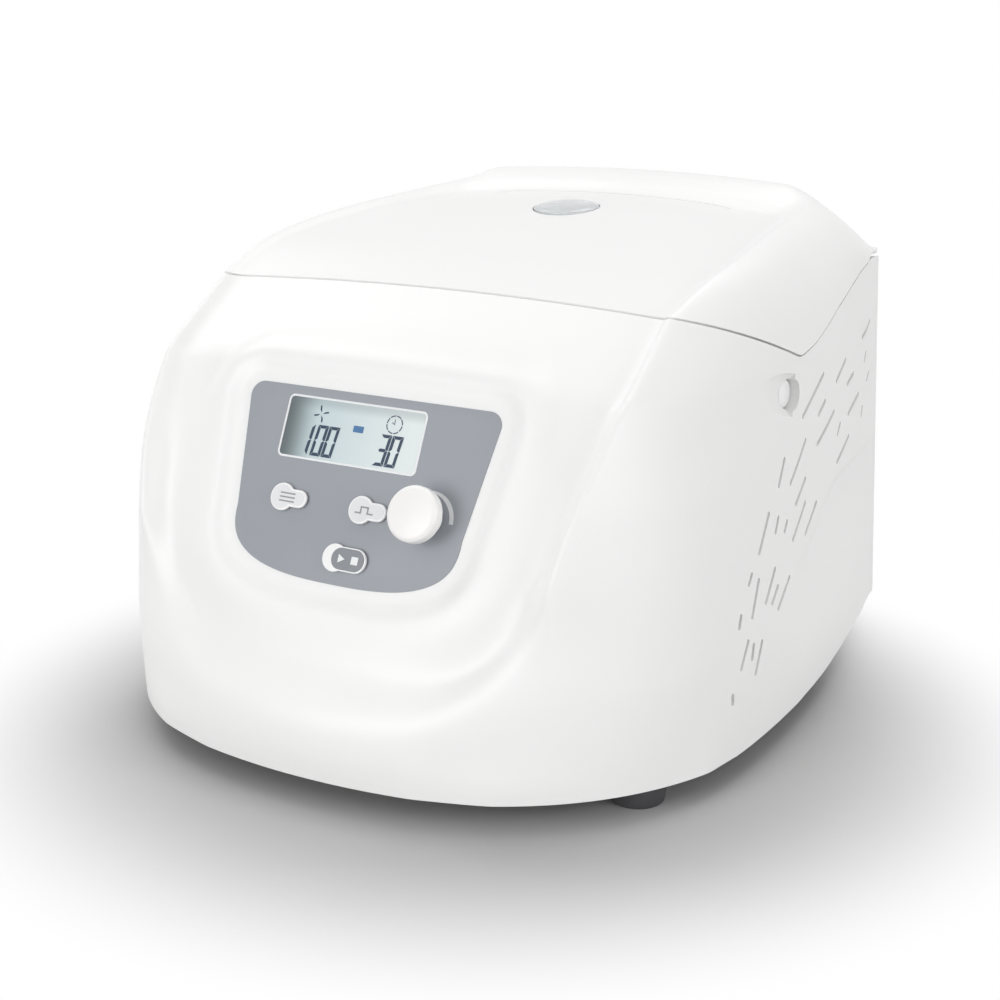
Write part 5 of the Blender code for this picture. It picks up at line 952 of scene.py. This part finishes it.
def digit_bars(value, width, height, bar):
    """Mitred bars of a seven-segment digit as (x, y) outlines, its lower left corner at the origin."""
    lit = {"0": "abcdef", "1": "bc", "3": "abcdg"}[value]
    half, gap, middle = bar / 2, DIGIT_GAP, height / 2
    top = [(gap - half, height + half), (width + half - gap, height + half),
           (width - half - gap, height - half), (half + gap, height - half)]
    right = [(width + half, height + half - gap), (width + half, middle + gap), (width, middle + gap),
             (width - half, middle + half + gap), (width - half, height - half - gap)]
    bars = {
        "a": top, "b": right,
        "c": [(x, height - y) for x, y in right], "d": [(x, height - y) for x, y in top],
        "e": [(width - x, height - y) for x, y in right], "f": [(width - x, y) for x, y in right],
        "g": [(gap, middle), (half + gap, middle + half), (width - half - gap, middle + half),
              (width - gap, middle), (width - half - gap, middle - half), (half + gap, middle - half)],
    }
    return [bars[name] for name in lit]


def make_display(looks):
    """The display's face, its light frame, and the digits and signs on it."""
    low, high = OVERLAY_LOW, OVERLAY_TOP + 0.00005
    matrix = on_panel_frame(SCREEN_X, SCREEN_UP)
    outline = rounded(SCREEN_WIDTH, SCREEN_LENGTH, 0.0016)
    make_piece("display_face", plate(outline, low, high, matrix), looks["screen"], "case", "display",
               "screen_window")
    rim = ring_plate(rounded(SCREEN_WIDTH + 0.0017, SCREEN_LENGTH + 0.0017, 0.0024),
                     rounded(SCREEN_WIDTH, SCREEN_LENGTH, 0.0016), low, high + 2 * PRINT, matrix, PRINT)
    make_piece("display_frame", rim, looks["print_white"], "case", "white")
    left, bottom = -SCREEN_WIDTH / 2, -SCREEN_LENGTH / 2
    shapes = []
    for value, x in DIGITS:
        shapes += [
            [(left + x + across + DIGIT_SLANT * up, bottom + DIGIT_UP + up) for across, up in shape]
            for shape in digit_bars(value, *DIGIT_SIZES)
        ]
    parts = [film(shape, high, matrix) for shape in shapes]
    fan = (left + 0.0160, bottom + 0.0182)
    for quarter in range(4):
        angle = math.radians(90 * quarter + 12)
        spin = Matrix.Rotation(angle, 4, "Z")
        blade = [(0.0006, -0.0001), (0.0018, 0.00055), (0.0034, 0.0005), (0.0035, -0.0001)]
        parts.append(film(blade, high, matrix @ Matrix.Translation((*fan, 0.0)) @ spin))
    clock = (left + 0.0508, bottom + 0.0181)
    for index in range(8):
        start = 45 * index + 4
        outer = arc(clock, 0.0037, start, start + 37, 5)
        inner = arc(clock, 0.0033, start + 37, start, 5)
        parts.append(film(outer + inner, high, matrix))
    half = 0.00012
    for angle, length in ((95, 0.0021), (150, 0.0015)):
        hand = Matrix.Translation((*clock, 0.0)) @ Matrix.Rotation(math.radians(angle), 4, "Z")
        parts.append(film([(0, -half), (length, -half), (length, half), (0, half)], high, matrix @ hand))
    make_piece("display_digits", joined(*parts), looks["digit"], "case", "display")
    mark = rounded(0.0048, 0.0026, 0.0003, (left + 0.0348, bottom + 0.0142), 3)
    make_piece("display_mark", film(mark, high, matrix), looks["mark"], "case", "display")


def keyhole(radius, pill_reach, pill_half, steps=12):
    """Outline of a disc with a pill that runs out of it to the right."""
    join = math.degrees(math.asin(pill_half / radius))
    disc = arc((0.0, 0.0), radius, join, 360 - join, 4 * steps)
    return disc + arc((pill_reach - pill_half, 0.0), pill_half, -90, 90, steps)


def make_keys(looks):
    """Two keys with a white rim and a grey face that runs out as a pill, and a lower key with a bar."""
    low, high = OVERLAY_TOP + 0.0008, OVERLAY_TOP + 0.0018
    rim, top = KEY_LIGHT_RIM, high + PRINT
    for name, x, up in KEYS:
        matrix = on_panel_frame(x, up)
        stem = spun(rod(KEY_STEM, 0.0, low + PRINT), matrix, 32)
        if name == "key_lower":
            disc = plate(arc((0, 0), KEY_RADIUS, 0, 350, 35), low, high, matrix, KEY_FILLET)
            bar = plate(rounded(0.0162, 0.0096, 0.0047, (0.0066, 0.0)), low, top, matrix, 0.0002)
            cap = joined(disc, stem, bar)
            face = plate(rounded(0.0152, 0.0086, 0.0042, (0.0066, 0.0)), high, top + PRINT, matrix)
            signs = [
                film([(0.0022, -0.0017), (0.0052, 0.0), (0.0022, 0.0017)], top + PRINT, matrix),
                film(rounded(0.0031, 0.0031, 0.0002, (0.0098, 0.0), 2), top + PRINT, matrix),
            ]
            finishes = ("print_grey", "panel_grey", "print_white", "white")
        else:
            reach, half = KEY_PILL
            cap = joined(plate(keyhole(KEY_RADIUS, reach, half), low, high, matrix, KEY_FILLET), stem)
            face = plate(keyhole(KEY_RADIUS - rim, reach - rim, half - rim), high - PRINT, top, matrix)
            bars = SELECT_BARS if name == "key_left" else PULSE_BARS
            signs = [film(rounded(w, h, 0.0002, (x, y), 2), top, matrix) for x, y, w, h in bars]
            finishes = ("key", "liner_grey", "print_dark", "panel_grey")
        make_piece(name + "_cap", cap, looks["key_rim"], name, "white", name)
        make_piece(name + "_face", face, looks[finishes[0]], name, finishes[1])
        make_piece(name + "_sign", joined(*signs), looks[finishes[2]], name, finishes[3])


def make_knob(looks):
    """The speed knob: a thick cap with a rounded rim on a narrower collar, and the sweep beside it."""
    low = OVERLAY_TOP + 0.0008
    matrix = on_panel_frame(KNOB_X, KNOB_UP, low)
    profile = [(0.0, KNOB_BORE[1]), KNOB_BORE, (KNOB_BORE[0], 0.0), (KNOB_COLLAR, 0.0)]
    profile += [(KNOB_COLLAR, KNOB_RIM_LOW), (KNOB_RADIUS - 0.0008, KNOB_RIM_LOW + 0.0003)]
    profile += [(KNOB_RADIUS, KNOB_RIM_LOW + 0.0010)]
    profile += arc((KNOB_RADIUS - KNOB_FILLET, KNOB_HEIGHT - KNOB_FILLET), KNOB_FILLET, 0, 90, 8)
    profile += [(KNOB_RADIUS * 0.4, KNOB_HEIGHT + 0.0003), (0.0, KNOB_HEIGHT + 0.0004)]
    cap = spun(profile, matrix, 96)
    make_piece("speed_knob_cap", cap, looks["knob"], "speed_knob", "white", "speed_knob")
    outer, inner = [], []
    for step in range(SWEEP_STEPS + 1):
        share = step / SWEEP_STEPS
        angle = math.radians(between(125, 0, share))
        half = between(0.0002, 0.0009, smooth_step(share, 0.0, 0.75))
        for points, radius in ((outer, SWEEP_RADIUS + half), (inner, SWEEP_RADIUS - half)):
            points.append((radius * math.cos(angle), radius * math.sin(angle)))
    sweep = film(outer + inner[::-1], OVERLAY_TOP, on_panel_frame(*SWEEP_PLACE))
    make_piece("speed_arc_print", sweep, looks["print_white"], "case", "white")


def make_button(looks):
    """The release button in its scoop."""
    profile = [(0.0, -BUTTON_LENGTH), (BUTTON_RADIUS, -BUTTON_LENGTH)]
    profile += arc((BUTTON_RADIUS - BUTTON_FILLET, -BUTTON_FILLET), BUTTON_FILLET, 0, 90, 6)
    profile += [(BUTTON_RADIUS * 0.5, 0.0003), (0.0, 0.0004)]
    cap = spun(profile, frame_of(BUTTON, RIGHT, UP), 48)
    make_piece("release_button_cap", cap, looks["key_rim"], "release_button", "white", "release_button")


def make_feet(looks):
    """Round rubber feet with soft edges."""
    for name in ("foot_front_left", "foot_front_right", "foot_rear_left", "foot_rear_right"):
        low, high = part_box(name)
        middle = (low + high) / 2 - SHIFT
        middle.z = low.z - SHIFT.z
        radius = (high.x - low.x) / 2
        height = high.z - low.z
        profile = [(0.0035, height / 2), (0.0035, 0.0004), (0.0039, 0.0), (radius * 0.86, 0.0),
                   (radius * 0.93, 0.0008), (radius, height / 2), (radius, height), (0.0, height)]
        part = spun([(0.0, height / 2)] + profile, Matrix.Translation(middle), 48)
        make_piece(name + "_pad", part, looks["rubber"], "case", "rubber", name)


def dress_cad(looks):
    """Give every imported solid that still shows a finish."""
    kinds = {
        "white": ("lid_arm_left", "lid_arm_right", "rear_panel"),
        "dark": ("base_pan", "motor", "latch_block", "screen_module", "power_inlet", "switch_frame",
                 "power_switch", "fuse_holder", "fuse_drawer", "fan_frame", "fan_wheel", "transformer",
                 "rotor_nut"),
        "rubber": ("chamber_gasket", "motor_damper_1", "motor_damper_2", "motor_damper_3"),
        "steel": ("motor_plate", "motor_shaft", "lid_hook", "latch_bolt", "release_spring",
                  "hinge_bracket_left", "hinge_bracket_right", "hinge_pin_left", "hinge_pin_right", "encoder",
                  "capacitor"),
        "bowl": ("chamber_bowl",),
        "alloy": ("rotor",),
        "board": ("control_board", "power_board"),
        "liner": ("chamber_deck", "lid_liner", "sight_glass_ring"),
    }
    for kind, names in kinds.items():
        for name in names:
            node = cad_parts[name]
            node.data.materials.clear()
            node.data.materials.append(looks[kind])


def add_camera():
    data = bpy.data.cameras.new("camera")
    data.lens = CAMERA_LENS
    data.sensor_width = 36.0
    data.clip_start = 0.05
    data.clip_end = 30.0
    camera = bpy.data.objects.new("camera", data)
    camera.location = Vector(CAMERA_PLACE) + SHIFT
    camera.rotation_euler = (math.radians(90 - CAMERA_DOWN), 0.0, math.radians(CAMERA_TURN))
    bpy.context.scene.collection.objects.link(camera)
    bpy.context.scene.camera = camera


def add_lamp(name, place, size, power):
    """A square soft lamp that faces the middle of the object."""
    data = bpy.data.lights.new(name, "AREA")
    data.size = size
    data.energy = power
    target = (0.0, 0.0, HEIGHT / 2)
    lamp = bpy.data.objects.new(name, data)
    lamp.location = place
    lamp.rotation_euler = (Vector(target) - Vector(place)).to_track_quat("-Z", "Y").to_euler()
    bpy.context.scene.collection.objects.link(lamp)


def make_sweep():
    """A floor that bends up into a backdrop."""
    sweep = bmesh.new()
    ends = [sweep.verts.new((x, FLOOR_FRONT, 0.0)) for x in (-FLOOR_REACH, FLOOR_REACH)]
    line = sweep.edges.new(ends)
    places = [(FLOOR_FRONT / 2, 0.0), (0.0, 0.0)]
    places += arc((FLOOR_BACK, FLOOR_BEND), FLOOR_BEND, -90, 0, 16) + [(FLOOR_BACK + FLOOR_BEND, FLOOR_TOP)]
    for y, z in places:
        made = bmesh.ops.extrude_edge_only(sweep, edges=[line])["geom"]
        fresh = {item for item in made if isinstance(item, bmesh.types.BMVert)}
        for vert in fresh:
            vert.co.y, vert.co.z = y, z
        line = next(edge for edge in sweep.edges if set(edge.verts) == fresh)
    return sweep


def light_path(tree):
    """One for rays that show the stage itself: from the camera, in reflections and through glass."""
    path = tree.nodes.new("ShaderNodeLightPath")
    total = path.outputs["Is Camera Ray"]
    for name in ("Is Glossy Ray", "Is Transmission Ray"):
        adding = tree.nodes.new("ShaderNodeMath")
        adding.operation = "ADD"
        adding.use_clamp = True
        tree.links.new(total, adding.inputs[0])
        tree.links.new(path.outputs[name], adding.inputs[1])
        total = adding.outputs[0]
    return total


def floor_look():
    """Grey paper that keeps the object's shadow and runs out to white with the distance, a painted shadow
    pool: grey near a middle set a little in front of the object, glowing white beyond.
    """
    look = Look("floor_paper")
    values = {0: look.where(), 1: SHADOW_POOL_MIDDLE}
    distance = look.node("VectorMath", {"operation": "DISTANCE"}, values, "Value")
    # Painted shadow pool: past this reach the floor glows white to camera, glossy and transmission rays, and
    # nearer it shows its grey paper
    far = look.spread(distance, *SHADOW_POOL_FADE)
    fine = look.noise(40.0, 3.0)
    look.surface(Base_Color=look.mix(fine, colour(0.49, 0.49, 0.49), colour(0.51, 0.51, 0.51)), Roughness=0.7)
    glow = look.node("Emission", {}, {"Color": colour(1.0, 1.0, 1.0), "Strength": 1.0})
    paper = Signal(look, look.shader.outputs[0])
    both = look.node("MixShader", {}, {0: far * Signal(look, light_path(look.tree)), 1: paper, 2: glow})
    look.tree.links.new(both.socket, look.tree.nodes["Material Output"].inputs["Surface"])
    return look.material


def add_stage():
    """A pale floor and backdrop with a painted shadow pool round the object, soft lamps, and a pale world."""
    floor = new_object("floor", make_sweep(), floor_look())
    floor.data.shade_smooth()
    for lamp in LAMPS:
        add_lamp(*lamp)
    world = bpy.data.worlds.new("pale")
    bpy.context.scene.world = world
    world.use_nodes = True
    tree = world.node_tree
    back = tree.nodes["Background"]
    strength = tree.nodes.new("ShaderNodeMapRange")
    strength.inputs[3].default_value = WORLD_STRENGTH
    strength.inputs[4].default_value = 1.0
    tree.links.new(light_path(tree), strength.inputs[0])
    tree.links.new(strength.outputs[0], back.inputs["Strength"])
    back.inputs["Color"].default_value = colour(1.0, 1.0, 1.0)


def main():
    looks = make_looks()
    dress_cad(looks)
    make_case_skin(looks)
    make_lid_skin(looks)
    make_sight_glass(looks)
    make_overlay(looks)
    make_display(looks)
    make_keys(looks)
    make_knob(looks)
    make_button(looks)
    make_feet(looks)
    add_camera()
    add_stage()
    bpy.context.scene.view_settings.view_transform = "Standard"


main()
